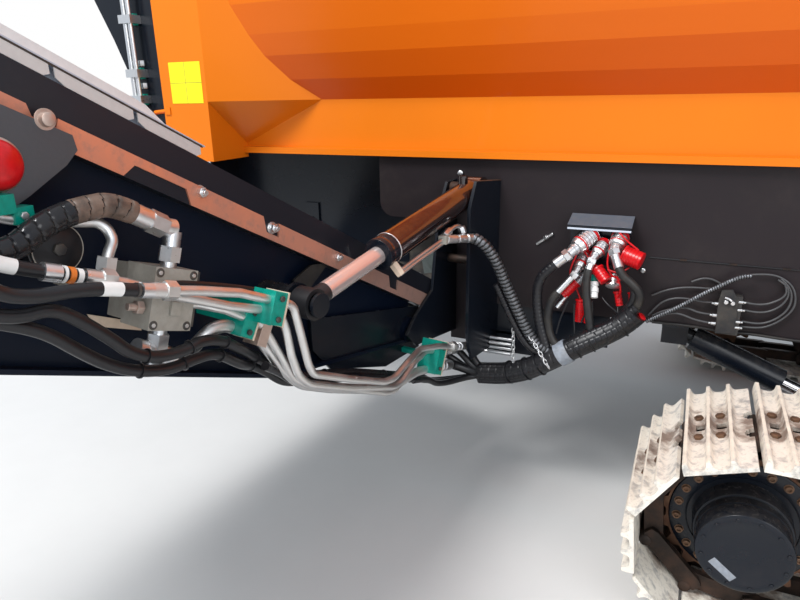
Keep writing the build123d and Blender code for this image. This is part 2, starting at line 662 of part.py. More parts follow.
def tilt_cylinder():
    """Cylinder between the chassis sill and the front cross beam, with its two lugs."""
    y, r = TILT_Y, TILT_BARREL_R
    (xt, zt), (xf, zf) = TILT_TOP, TILT_FOOT
    length = hypot(xf - xt, zf - zt)
    ux, uz = (xf - xt) / length, (zf - zt) / length

    def at(t):
        return (xt + t * ux, y, zt + t * uz)

    ear = r - 17
    eye = ear + 4
    gland = TILT_SHARE * length
    start = r + 20
    lug = bar(at(10), at(start + 5), ear)
    barrel = union([bar(at(start), at(gland), r), lug, pin_y(xt, zt, y - ear, y + ear, eye)])
    barrel = barrel - bar(at(start + 20), at(gland + CUT), TILT_ROD_R + SEAT)
    barrel = barrel - pin_y(xt, zt, y - r, y + r, TILT_PIN_R + SEAT)
    rod = union([bar(at(gland * 0.6), at(length - 10), TILT_ROD_R), pin_y(xf, zf, y - ear, y + ear, ear + 6)])
    rod = rod - pin_y(xf, zf, y - r, y + r, TILT_PIN_R + SEAT)
    reach = ear + EAR_T + 2
    cheeks = (-reach, -ear - 2), (ear + 2, reach)
    top = [block(xt - r, xt + r, y + a, y + b, zt - r, SILL_Z) for a, b in cheeks]
    top.append(block(xt - r, xt + r, -SIDE_Y, y + reach, SILL_Z - PLATE, SILL_Z))
    top.append(pin_y(xt, zt, y - reach, y + reach, TILT_PIN_R))
    face = CROSS_BEAM_X[0] - CROSS_BEAM_WIDTH / 2
    foot = [block(xf - r, face, y + a, y + b, zf - r, zf + r) for a, b in cheeks]
    foot.append(pin_y(xf, zf, y - reach, y + reach, TILT_PIN_R))
    return barrel, rod, union(top), union(foot)


def build_chassis():
    write("chassis_side_near", chassis_side())
    write("chassis_side_far", far_side(chassis_side()))
    write("recess_panel_near", recess_panel())
    write("recess_panel_far", far_side(recess_panel()))
    barrel, rod, top, foot = tilt_cylinder()
    beams = track_beams()
    write("chassis_cross_members", *cross_members(), top)
    write("chassis_nose", nose_plate())
    write("chassis_rear_flange", rear_flange())
    write("track_cross_beams", beams[0] + foot, beams[1])
    write("tilt_cylinder_barrel", barrel)
    write("tilt_cylinder_rod", rod)


# Hopper

def wall_profile():
    """Outer Y and Z of the near wall from its rail to its rim."""
    y, z = RAIL_Y, RAIL_Z1
    points = [(y, z)]
    for rise, lean in FACETS:
        y += rise * tan(radians(lean))
        z += rise
        points.append((y, z))
    points.append((y, RIM_Z))
    return points


def hopper_wall():
    """Near wall: a bottom rail with its lip, the faceted flare and the folded rim."""
    outer = [(-RAIL_Y, DECK_Z)] + [(-y, z) for y, z in wall_profile()]
    inner = [(y + SHEET, z) for y, z in reversed(outer)]
    wall = cross_slab(outer + inner, HOPPER_X0, REAR_X)
    lip = block(HOPPER_X0, REAR_X, -RAIL_Y - RAIL_LIP, -RAIL_Y, DECK_Z, DECK_Z + RAIL_LIP_T)
    top = -wall_profile()[-1][0]
    rim = block(HOPPER_X0 + GUSSET_RUN / 4, REAR_X, top - RIM_OUT, top, RIM_Z - RIM_DEPTH, RIM_Z)
    return union([wall, lip, rim])


def pyramid(corners, apex):
    """A solid from a triangle and a point."""
    a, b, c = corners
    faces = [(a, b, c), (a, b, apex), (b, c, apex), (c, a, apex)]
    return Solid(Shell([Face(Wire.make_polygon(face, close=True)) for face in faces]))


def hopper_post():
    """Corner post with its slanted gusset plate onto the faceted wall."""
    x0, x1 = HOPPER_X0 - POST_WIDTH, HOPPER_X0
    post = block(x0, x1, -POST_Y, -RAIL_Y, POST_Z0, RIM_Z)
    tip = x1 + GUSSET_RUN
    gusset = flat_slab([(x1, -POST_Y), (tip, -RAIL_Y), (x1, -RAIL_Y)], RAIL_Z1, RIM_Z)
    inside = [(0, RAIL_Z1 - CUT), (-RAIL_Y, RAIL_Z1 - CUT)] + [(-y, z) for y, z in wall_profile()]
    inside += [(-wall_profile()[-1][0], RIM_Z + CUT), (0, RIM_Z + CUT)]
    gusset = gusset - cross_slab(inside, x1 - CUT, tip + CUT)
    triangle = [(x1, -POST_Y, RAIL_Z1), (tip, -RAIL_Y, RAIL_Z1), (x1, -RAIL_Y, RAIL_Z1)]
    under = pyramid(triangle, (x1, -RAIL_Y, RAIL_Z1 - GUSSET_DROP))
    return union([post, gusset, under])


def end_wall(x0, x1):
    """End plate with the hopper's cross-section."""
    near = [(-RAIL_Y + SHEET, DECK_Z)] + [(-y + SHEET, z) for y, z in wall_profile()]
    far = [(-y, z) for y, z in reversed(near)]
    return cross_slab(near + far, x0, x1)


def rear_wall():
    """End plate with the opening through which the belt feeds the drum."""
    wall = end_wall(REAR_X - SHEET, REAR_X)
    return wall - block(REAR_X - SHEET - CUT, REAR_X + CUT, -THROAT_Y, THROAT_Y, *THROAT_Z)


def end_frame():
    """Black columns in front of the hopper's posts, with their wing plates and cross tube."""
    x1 = HOPPER_X0 - POST_WIDTH
    x0 = x1 - COLUMN
    column = block(x0, x1, -COLUMN_Y, -COLUMN_Y + COLUMN_DEPTH, POST_Z0, RIM_Z)
    wing = up_slab([(x0 - run if run else x0 + CUT, z) for run, z in WING], -WING_Y, -WING_Y + PLATE)
    near = column + wing
    mid = (x0 + x1) / 2
    reach = COLUMN_Y - COLUMN_DEPTH / 2
    tube = block(mid - 40, mid + 40, -reach, reach, RIM_Z - 120, RIM_Z - 20)
    return union([near, far_side(near), tube])


def front_pipe_places():
    """X of the two pipes on the near column."""
    return [HOPPER_X0 - POST_WIDTH - COLUMN - run for run in FRONT_PIPE_RUNS]


def front_pipes():
    """Two rigid pipes down the near column, turned into it at both ends."""
    wall = -COLUMN_Y
    y = wall - FRONT_PORT
    low, high = FRONT_PIPE_Z
    return [tube_run([(x, wall, low), (x, y, low), (x, y, high), (x, wall, high)], FRONT_PIPE_R)
            for x in front_pipe_places()]


def front_clamps():
    """Clamps round the two pipes, standing on the column."""
    a, b = front_pipe_places()
    face = -COLUMN_Y
    return [block(a - 20, b + 20, face - FRONT_PORT - 18, face, z - 16, z + 16) for z in FRONT_CLAMP_Z]


def feeder():
    """Belt, drums and bed of the feeder in the hopper's floor."""
    (xa, xb), z, half = FEEDER_X, FEEDER_Z, FEEDER_HALF

    def loop(r, reach):
        ends = [pin_y(x, z, -reach, reach, r) for x in (xa, xb)]
        return union([block(xa, xb, -reach, reach, z - r, z + r)] + ends)

    belt = loop(FEEDER_DRUM_R + FEEDER_BELT_T, half) - loop(FEEDER_DRUM_R, half + CUT)
    inside = RAIL_Y - SHEET
    drums = []
    for x in (xa, xb):
        drum = pin_y(x, z, -half, half, FEEDER_DRUM_R - SEAT)
        drums.append(drum + pin_y(x, z, -inside + SEAT, inside - SEAT, AXLE_R))
    clear = FEEDER_DRUM_R + 40
    low, high = z - FEEDER_RAIL, z + FEEDER_RAIL
    bed = [block(xa + clear, xb - clear, y - 20, y + 20, low, high) for y in (-FEEDER_RAIL_Y, FEEDER_RAIL_Y)]
    bed += [block(x - 40, x + 40, -inside, inside, low, high) for x in FEEDER_BARS]
    return belt, drums, union(bed)


def build_hopper():
    wall = hopper_wall()
    post = hopper_post()
    write("hopper_wall_near", wall)
    write("hopper_wall_far", far_side(wall))
    write("hopper_post_near", post)
    write("hopper_post_far", far_side(post))
    write("hopper_front_wall", end_wall(HOPPER_X0, HOPPER_X0 + SHEET))
    write("hopper_rear_wall", rear_wall())
    write("end_frame", end_frame())
    write("front_pipes", union(front_pipes() + front_clamps()))
    belt, drums, bed = feeder()
    write("feeder_belt", belt)
    write("feeder_drums", *drums)
    write("feeder_bed", bed)


# Side conveyor
# Its own frame: X out from the chassis, Y across with the near beam's face at 0, Z up.

def on_conveyor(shape):
    """Turn a piece from the conveyor's own frame into the machine's."""
    return Location((CONV_X, CONV_Y, 0), (0, 0, -90 - CONV_TURN)) * shape


def beam_top(s):
    """Height of the beam's top edge at level distance s."""
    return BEAM_TOP + s * tan(radians(CONV_INCLINE))


def beam_mid(s):
    """Height of the belt's centre line."""
    return beam_top(s) - BEAM_DEPTH / 2


def beam_foot(s):
    """Height of the beam's bottom edge."""
    return beam_top(s) - BEAM_DEPTH


def beam_outline(s0, s1, top=0.0, bottom=BEAM_DEPTH):
    """Outline of a strip along the beam, measured down from its top edge."""
    return [(s0, beam_top(s0) - top), (s1, beam_top(s1) - top),
            (s1, beam_top(s1) - bottom), (s0, beam_top(s0) - bottom)]


def side_beam():
    """Near beam: a channel with its lips turned inwards."""
    web = up_slab(beam_outline(BEAM_START, BEAM_RUN), -BEAM_T, 0)
    lips = [up_slab(beam_outline(BEAM_START, BEAM_RUN, a, b), -BEAM_LIP, -BEAM_T)
            for a, b in ((0, BEAM_T), (BEAM_DEPTH - BEAM_T, BEAM_DEPTH))]
    return union([web] + lips)


def strip():
    """Steel strip low on the beam, notched round its bolts and raised over the ram."""
    top = BEAM_DEPTH - STRIP_DEPTH
    upper = [(BEAM_START + 60, top)]
    for s, drop in STRIP_NOTCHES:
        half = STRIP_NOTCH / 2
        upper += [(s - half - 6, top), (s - half, drop), (s + half, drop), (s + half + 6, top)]
    end = DRUMS[1] - MOTOR_R - 2 * MOTOR_FLANGE_T
    upper.append((end, top))
    a, b = STRIP_RAISE
    raised = [(b, STRIP_RAISED), (a + 8, STRIP_RAISED)]
    lower = [(end, BEAM_DEPTH), (b + 30, BEAM_DEPTH)] + raised + [(a, BEAM_DEPTH)]
    lower.append((BEAM_START + 60, BEAM_DEPTH))
    return up_slab([(s, beam_top(s) - drop) for s, drop in upper + lower], 0, STRIP_T)


def across(shape):
    """The same piece at the conveyor's other edge."""
    middle = -CONV_WIDTH / 2
    return mirror(shape, about=Plane(origin=(0, middle, 0), z_dir=(0, 1, 0)))


def belt_loop():
    """Closed belt round the tail and head drums."""
    y0, y1 = -CONV_WIDTH + BELT_ROOM, -BELT_ROOM
    (sa, sb), rise = DRUMS, radians(CONV_INCLINE)

    def loop(r, y0, y1):
        ds, dz = -r * sin(rise), r * cos(rise)
        za, zb = beam_mid(sa), beam_mid(sb)
        upper = [(sa + ds, za + dz), (sb + ds, zb + dz)]
        flat = up_slab(upper + [(sb - ds, zb - dz), (sa - ds, za - dz)], y0, y1)
        return union([flat, pin_y(sa, za, y0, y1, r), pin_y(sb, zb, y0, y1, r)])

    return loop(DRUM_R + BELT_T, y0, y1) - loop(DRUM_R, y0 - CUT, y1 + CUT)


def drums():
    """Tail and head drums with their shafts."""
    y0, y1 = -CONV_WIDTH + BEAM_T, -BEAM_T
    out = []
    for s in DRUMS:
        z = beam_mid(s)
        drum = pin_y(s, z, -CONV_WIDTH + BELT_ROOM, -BELT_ROOM, DRUM_R - SEAT)
        out.append(drum + pin_y(s, z, y0 + SEAT, y1 - SEAT, DRUM_SHAFT_R))
    return out


def idlers():
    """Carrying rollers under the belt's top strand."""
    y0, y1 = -CONV_WIDTH + BEAM_T, -BEAM_T
    lift = (DRUM_R - IDLER_R - SEAT) / cos(radians(CONV_INCLINE))
    out = []
    for s in IDLERS:
        z = beam_mid(s) + lift
        roller = pin_y(s, z, -CONV_WIDTH + BELT_ROOM, -BELT_ROOM, IDLER_R)
        out.append(roller + pin_y(s, z, y0 + SEAT, y1 - SEAT, IDLER_SHAFT_R))
    return out


def under_frame():
    """Deep side plate under the beam, with the hinge arm at its lower end."""
    hs, hz = HINGE
    face = -BEAM_LIP - PLATE
    lower = list(UNDER_EDGE) + [(UNDER_END, beam_foot(UNDER_END) - 20)]
    upper = [(UNDER_END - 20, beam_foot(UNDER_END) + 20), (hs - 40, beam_foot(hs - 40) + 20), (hs - 55, hz)]
    plate = up_slab(lower + upper, face, -BEAM_LIP)
    rims = [up_slab([(sa, za), (sb, zb), (sb, zb + RIM_T), (sa, za + RIM_T)], -BEAM_LIP, -PLATE)
            for (sa, za), (sb, zb) in zip(lower, lower[1:])]
    boss = pin_y(hs, hz, face, -5, BOSS_R)
    return union([plate] + rims + [boss]) - pin_y(hs, hz, face - CUT, 0, HINGE_R + SEAT)


def conveyor_ties():
    """Round tubes between the two under frames."""
    face = BEAM_LIP + PLATE
    return [pin_y(s, z, -CONV_WIDTH + face, -face, TIE_R) for s, z in TIES]


def skirt():
    """Rubber-edged board along the far beam with its uprights and its pale top lip."""
    y = -CONV_WIDTH + 20
    board = up_slab(beam_outline(SKIRT_START, BEAM_RUN, -SKIRT_HEIGHT, -SKIRT_GAP), y, y + SKIRT_T)
    edge = beam_outline(SKIRT_START, BEAM_RUN, -SKIRT_HEIGHT, -SKIRT_HEIGHT + SKIRT_T)
    lip = up_slab(edge, y, y + SKIRT_LIP)
    stands = []
    s = SKIRT_START + 60
    while s < BEAM_RUN - 40:
        stands.append(up_slab(beam_outline(s, s + 40, -SKIRT_HEIGHT + 20, 0), y - SKIRT_T, y))
        s += SKIRT_POST_SPACE
    return union([board, lip] + stands)


def head_motor():
    """Drive motor on the head drum's near end."""
    s, z = DRUMS[1], beam_mid(DRUMS[1])
    flange = pin_y(s, z, 0, MOTOR_FLANGE_T, MOTOR_R + 20)
    return flange + pin_y(s, z, MOTOR_FLANGE_T, MOTOR_FLANGE_T + MOTOR_LENGTH, MOTOR_R)


def ram_line():
    """Length and direction of the ram from its base pin to its rod pin."""
    (s0, z0), (s1, z1) = RAM_BASE, RAM_EYE
    length = hypot(s1 - s0, z1 - z0)
    return length, (s1 - s0) / length, (z1 - z0) / length


def ram_parts():
    """Barrel and rod along the ram's line."""
    (s0, z0), (s1, z1) = RAM_BASE, RAM_EYE
    length, us, uz = ram_line()
    y, half = RAM_LANE, EYE_HALF

    def at(t):
        return (s0 + t * us, y, z0 + t * uz)

    throat = BARREL_START + 12
    barrel = union([bar(at(BARREL_START), at(GLAND), BARREL_R), pin_y(s0, z0, y - half, y + half, EYE_R),
                    bar(at(20), at(throat), EYE_R - 12)])
    port = at(PORT_AT)
    barrel = barrel + bar(port, (port[0], port[1], port[2] + BARREL_R + PORT_HEIGHT), PORT_R)
    barrel = barrel - bar(at(throat), at(GLAND + CUT), ROD_R + SEAT)
    barrel = barrel - pin_y(s0, z0, y - half - CUT, y + half + CUT, RAM_PIN_R + SEAT)
    rod = bar(at(ROD_TAIL), at(length - 30), ROD_R) + pin_y(s1, z1, y - half + 5, y + half - 5, EYE_R - 2)
    rod = rod - pin_y(s1, z1, y - half, y + half, RAM_PIN_R + EYE_PLAY)
    return barrel, rod


def rod_lug():
    """Lug with the pin that the rod's eye hangs on."""
    s, z = RAM_EYE
    y, half = RAM_LANE, EYE_HALF
    root = -BEAM_LIP
    return union([pin_y(s, z, root, y + half + 10, RAM_PIN_R),
                  pin_y(s, z, y - half - 17, y - half - 3, EYE_R + 4),
                  pin_y(s, z, root, y - half - 10, EYE_R - 6),
                  pin_y(s, z, y + half + 3, y + half + 13, EYE_R - 12)])


def ram_bracket():
    """Upright bracket on the chassis for the ram's base and the near hinge."""
    s0, z0 = RAM_BASE
    hs, hz = HINGE
    inner = [INNER_EAR_FOOT, (hs, hz - EAR_REACH), (hs + EAR_REACH, hz), (hs, hz + EAR_REACH)]
    inner += list(INNER_EAR_TOP)
    y = RAM_LANE
    near = up_slab(list(OUTER_EAR), y + EAR_OUT, y + EAR_OUT + EAR_T)
    far = up_slab(inner, EAR_IN, EAR_IN + EAR_T)
    pin = pin_y(s0, z0, EAR_IN + EAR_T, y + EAR_OUT, RAM_PIN_R)
    hinge_pin = pin_y(hs, hz, -BEAM_LIP - PLATE - EAR_T, EAR_IN, HINGE_R)
    ts, tz = STAY_TUBE
    stay = pin_y(ts, tz, EAR_IN + EAR_T, y + EAR_OUT, STAY_TUBE_R)
    face = -SIDE_Y - EAR_T
    ears = on_conveyor(union([near, far, pin, hinge_pin, stay]))
    ears = ears - block(CONV_X - EAR_CUT, CONV_X + EAR_CUT, face, 0, 0, DECK_Z + EAR_CUT)
    z0, z1 = BRACKET_Z
    x0, x1 = BRACKET_X
    return union([ears, block(x0, x1, face, -SIDE_Y, z0, z1)])


def far_hinge_bracket():
    """Hinge bracket on the recessed panel at the conveyor's far edge."""
    hs, hz = HINGE
    y = -CONV_WIDTH - 20
    tip = [(hs, hz - EAR_REACH), (hs + EAR_REACH, hz), (hs, hz + EAR_REACH)]
    outline = [FAR_EAR_REAR[1]] + tip + [FAR_EAR_REAR[0]]
    plate = up_slab(outline, y, y + EAR_T)
    pin = pin_y(hs, hz, y + EAR_T, -CONV_WIDTH + BEAM_LIP + PLATE + EAR_T, HINGE_R)
    face = -RECESS_Y - EAR_T
    body = on_conveyor(union([plate, pin]))
    body = body - block(CONV_X - 2 * CONV_WIDTH, CONV_X + EAR_CUT, face, 0, 0, DECK_Z + EAR_CUT)
    root = body.faces().filter_by_position(Axis.Y, face - 0.5, face + 0.5)[0].bounding_box()
    x0, x1 = root.min.X - EAR_BACK, root.max.X + EAR_BACK
    back = block(x0, x1, face, -RECESS_Y, SILL_Z + NOSE_DROP, FAR_EAR_REAR[0][1])
    return union([body, back])


def build_conveyor():
    beam, frame = side_beam(), under_frame()
    write("conveyor_beam_near", on_conveyor(beam))
    write("conveyor_beam_far", on_conveyor(across(beam)))
    write("conveyor_strips", on_conveyor(strip()), on_conveyor(across(strip())))
    write("conveyor_belt", on_conveyor(belt_loop()))
    write("conveyor_drums", *[on_conveyor(d) for d in drums()])
    write("conveyor_idlers", *[on_conveyor(r) for r in idlers()])
    write("conveyor_skirt", on_conveyor(skirt()))
    write("under_frame_near", on_conveyor(frame))
    write("under_frame_far", on_conveyor(across(frame)))
    write("conveyor_ties", *[on_conveyor(t) for t in conveyor_ties()])
    barrel, rod = ram_parts()
    write("ram_barrel", on_conveyor(barrel))
    write("ram_rod", on_conveyor(rod))
    write("rod_lug", on_conveyor(rod_lug()))
    write("ram_bracket", ram_bracket())
    write("far_hinge_bracket", far_hinge_bracket())


# Hydraulics on the side conveyor

def hex_nut(start, end, flat):
    """A hexagon nut between two points, its size across the flats."""
    p, q = Vector(*start), Vector(*end)
    face = Plane(origin=p, z_dir=q - p) * RegularPolygon(flat / 2, 6, major_radius=False)
    return extrude(face, amount=(q - p).length, dir=(q - p).normalized())


def on_valve(shape):
    """Turn a piece from the valve's own tilted frame into the conveyor's."""
    s, z = VALVE_AT
    return Location((s, 0, z), (0, -VALVE_TILT, 0)) * shape


def valve_block():
    """Valve body on its dark base, with the round actuator and the port block beside it."""
    length, height = VALVE_HALF
    face = -BEAM_LIP
    body = block(-length, length, VALVE_SPLIT, VALVE_OUT, -height, height)
    base = block(-length + 8, length - 8, face, VALVE_SPLIT, -height + 6, height - 6)
    s, z = ACTUATOR_AT
    actuator = pin_y(s, z, face, ACTUATOR_OUT, ACTUATOR_R)
    (xa, xb), (za, zb) = PORT_BLOCK
    ports = block(xa, xb, face, PORT_BLOCK_OUT, za, zb)
    return union([on_valve(body + base), actuator, on_valve(ports)])


def valve_fittings():
    """Adaptor, nut and elbow on the valve's top, and the same under it."""
    y = VALVE_LANE
    height = VALVE_HALF[1]
    stacks = []
    for turn, arm in ((1, ((28, 152), BIG_NUT, BIG_END)), (-1, ((24, 118), (34, 116), (56, 110)))):
        x = VALVE_PORT_X
        heights = [turn * h for h in (height, height + 12, height + 45, height + 78)]
        parts = [bar((x, y, heights[0]), (x, y, heights[1]), 17),
                 hex_nut((x, y, heights[1]), (x, y, heights[2]), 42),
                 bar((x, y, heights[2]), (x, y, heights[3]), 19)]
        points = [(px, y, turn * pz) for px, pz in arm]
        parts.append(bar((x, y, points[0][2]), points[0], 20))
        parts.append(hex_nut(points[0], points[1], 44))
        parts.append(bar(points[1], points[2], 22))
        if turn < 0:
            (xa, za), (xb, zb) = FAT_PORT
            parts.append(bar((xa, y, za), (xb, y, zb), 20))
        stacks.append(on_valve(union(parts)))
    return stacks


def hydraulic_pipes():
    """Rigid pipes with their nuts, each one solid."""
    pipes = []
    for radius, points, nut, nut_end in PIPES:
        pipe = tube_run(points, radius)
        if nut:
            start = Vector(*points[0])
            ahead = (Vector(*points[1]) - start).normalized()
            pipe = pipe + bar(points[0], start + ahead * nut, radius + 5)
            pipe = pipe + hex_nut(start + ahead * nut, start + ahead * (nut + 26), 2 * radius + 14)
        if nut_end:
            end = Vector(*points[-1])
            back = (Vector(*points[-2]) - end).normalized()
            pipe = pipe + hex_nut(end, end + back * nut_end, 2 * radius + 14)
        pipes.append(pipe)
    return pipes


def pipe_clamps():
    """Clamps on posts from the under frame, bored for the pipes that they hold."""
    clamps = []
    for (sa, sb), (va, vb), (za, zb), tilt in CLAMPS:
        centre = ((sa + sb) / 2, (va + vb) / 2, (za + zb) / 2)
        body = Location(centre, (0, -tilt, 0)) * Box(sb - sa, vb - va, zb - za)
        post = block(centre[0] - 9, centre[0] + 9, -BEAM_LIP, va + 4, centre[2] - 9, centre[2] + 9)
        clamps.append(body + post)
    for radius, points, _, _ in PIPES:
        cutter = tube_run(points, radius + SEAT)
        clamps = [clamp - cutter for clamp in clamps]
    return clamps


def conveyor_drive():
    """Junction block where the valve's hoses end, and its two pipes up to the head motor."""
    (sa, sb), (va, vb), (za, zb) = TERMINAL
    s1, z1 = DRUMS[1], beam_mid(DRUMS[1])
    parts = [block(sa, sb, va, vb, za, zb), head_motor()]
    v = STRIP_T + MOTOR_LINE_R + 5
    for drop, height in MOTOR_LINES:
        s0, s2 = sb + 60, s1 - 2 * MOTOR_R
        route = [(sb - 10, v, height), (sb + 10, v, height), (s0, v, beam_top(s0) - drop),
                 (s2, v, beam_top(s2) - drop), (s1 - 20, v + 40, z1 + (30 if drop < 30 else -10))]
        parts.append(tube_run(route, MOTOR_LINE_R))
    return union(parts)


def conveyor_hoses():
    """Hoses from the valve and the pipes to the junction block."""
    return [tube_run(points, radius) for radius, points in HOSES]


def gusset_plate():
    """Rounded plate that stands off the beam over the valve's hoses, on its collar."""
    plate = up_slab(list(GUSSET_PLATE), GUSSET_Y, GUSSET_Y + GUSSET_T)
    s, z = DOME_AT
    return plate + pin_y(s, z, GUSSET_Y + GUSSET_T, GUSSET_Y + GUSSET_T + DOME_COLLAR, DOME_R - 8) + union(
        [block(a, a + 30, 0 + STRIP_T, GUSSET_Y, beam_foot(a) + 40, beam_foot(a) + 80) for a in GUSSET_FEET])


def red_dome():
    """Round-nosed cover on the plate's collar."""
    s, z = DOME_AT
    root = GUSSET_Y + GUSSET_T + DOME_COLLAR
    drum = pin_y(s, z, root, root + DOME_LENGTH, DOME_R)
    return fillet(drum.edges().sort_by(Axis.Y)[-1], DOME_R * 0.6)


# Fittings on the chassis

def coupler_box():
    """Box with its sloping lid over the quick couplers."""
    x0, x1 = COUPLER_BOX
    lid = cross_slab(list(BOX_LID), x0, x1)
    body = block(x0 + 5, x1 - 5, -SIDE_Y - BOX_DEPTH, -SIDE_Y, *BOX_Z)
    return lid + body


def quick_couplers():
    """Couplers in steps of radius from the coupler box outwards."""
    couplers = []
    for points in COUPLERS:
        radii = COUPLER_RADII[:len(points) - 1]
        parts = [bar(a, b, r) for a, b, r in zip(points, points[1:], radii)]
        parts += [Location(p) * Sphere(min(ra, rb) - 1) for p, ra, rb in zip(points[1:], radii, radii[1:])]
        couplers.append(union(parts))
    return couplers


def dust_caps():
    """Caps that hang by their straps on bars from the side plate."""
    caps = []
    for x, y, z, r, half in CAPS:
        cap = pin_y(x, z, y - half, y + half, r)
        caps.append(cap + block(x - 5, x + 5, y + half - CUT, -SIDE_Y, z - 3, z + 3))
    return caps


def coupler_hoses():
    """Wrapped bundle and the hoses that leave the couplers, joined where they meet."""
    radius, points = BUNDLE
    bundle = tube_run(points, radius)
    for r, route in COUPLER_HOSES:
        bundle = bundle + tube_run(route, r)
    for x, z in BUNDLE_STAYS:
        bundle = bundle + block(x - 12, x + 12, STAY_Y, -SIDE_Y, z - 12, z + 12)
    return bundle


def grease_block():
    """Grease distributor on the side plate with its lines."""
    x0, x1, z0, z1 = GREASE_BLOCK
    parts = [block(x0, x1, -SIDE_Y - GREASE_OUT, -SIDE_Y, z0, z1)]
    for radius, points in GREASE_LINES:
        parts.append(tube_run(points, radius))
    return union(parts)


def build_hydraulics():
    write("valve_block", on_conveyor(valve_block()))
    write("valve_fittings", *[on_conveyor(f) for f in valve_fittings()])
    write("hydraulic_pipes", *[on_conveyor(p) for p in hydraulic_pipes()])
    write("pipe_clamps", *[on_conveyor(c) for c in pipe_clamps()])
    write("conveyor_drive", on_conveyor(conveyor_drive()))
    write("hoses_conveyor", *[on_conveyor(h) for h in conveyor_hoses()])
    write("conveyor_gusset", on_conveyor(gusset_plate()))
    write("red_dome", on_conveyor(red_dome()))
    write("coupler_box", coupler_box())
    write("quick_couplers", *quick_couplers())
    write("dust_caps", *dust_caps())
    write("coupler_hoses", coupler_hoses())
    write("grease_block", grease_block())


def main():
    os.makedirs("parts", exist_ok=True)
    build_tracks()
    build_chassis()
    build_hopper()
    build_conveyor()
    build_hydraulics()


main()
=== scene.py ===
"""Looks of the trommel screen's front section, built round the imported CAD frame.

Metres, in the frame of part.py: +X along the machine, -Y the near side, +Z up.
"""
import math
import random

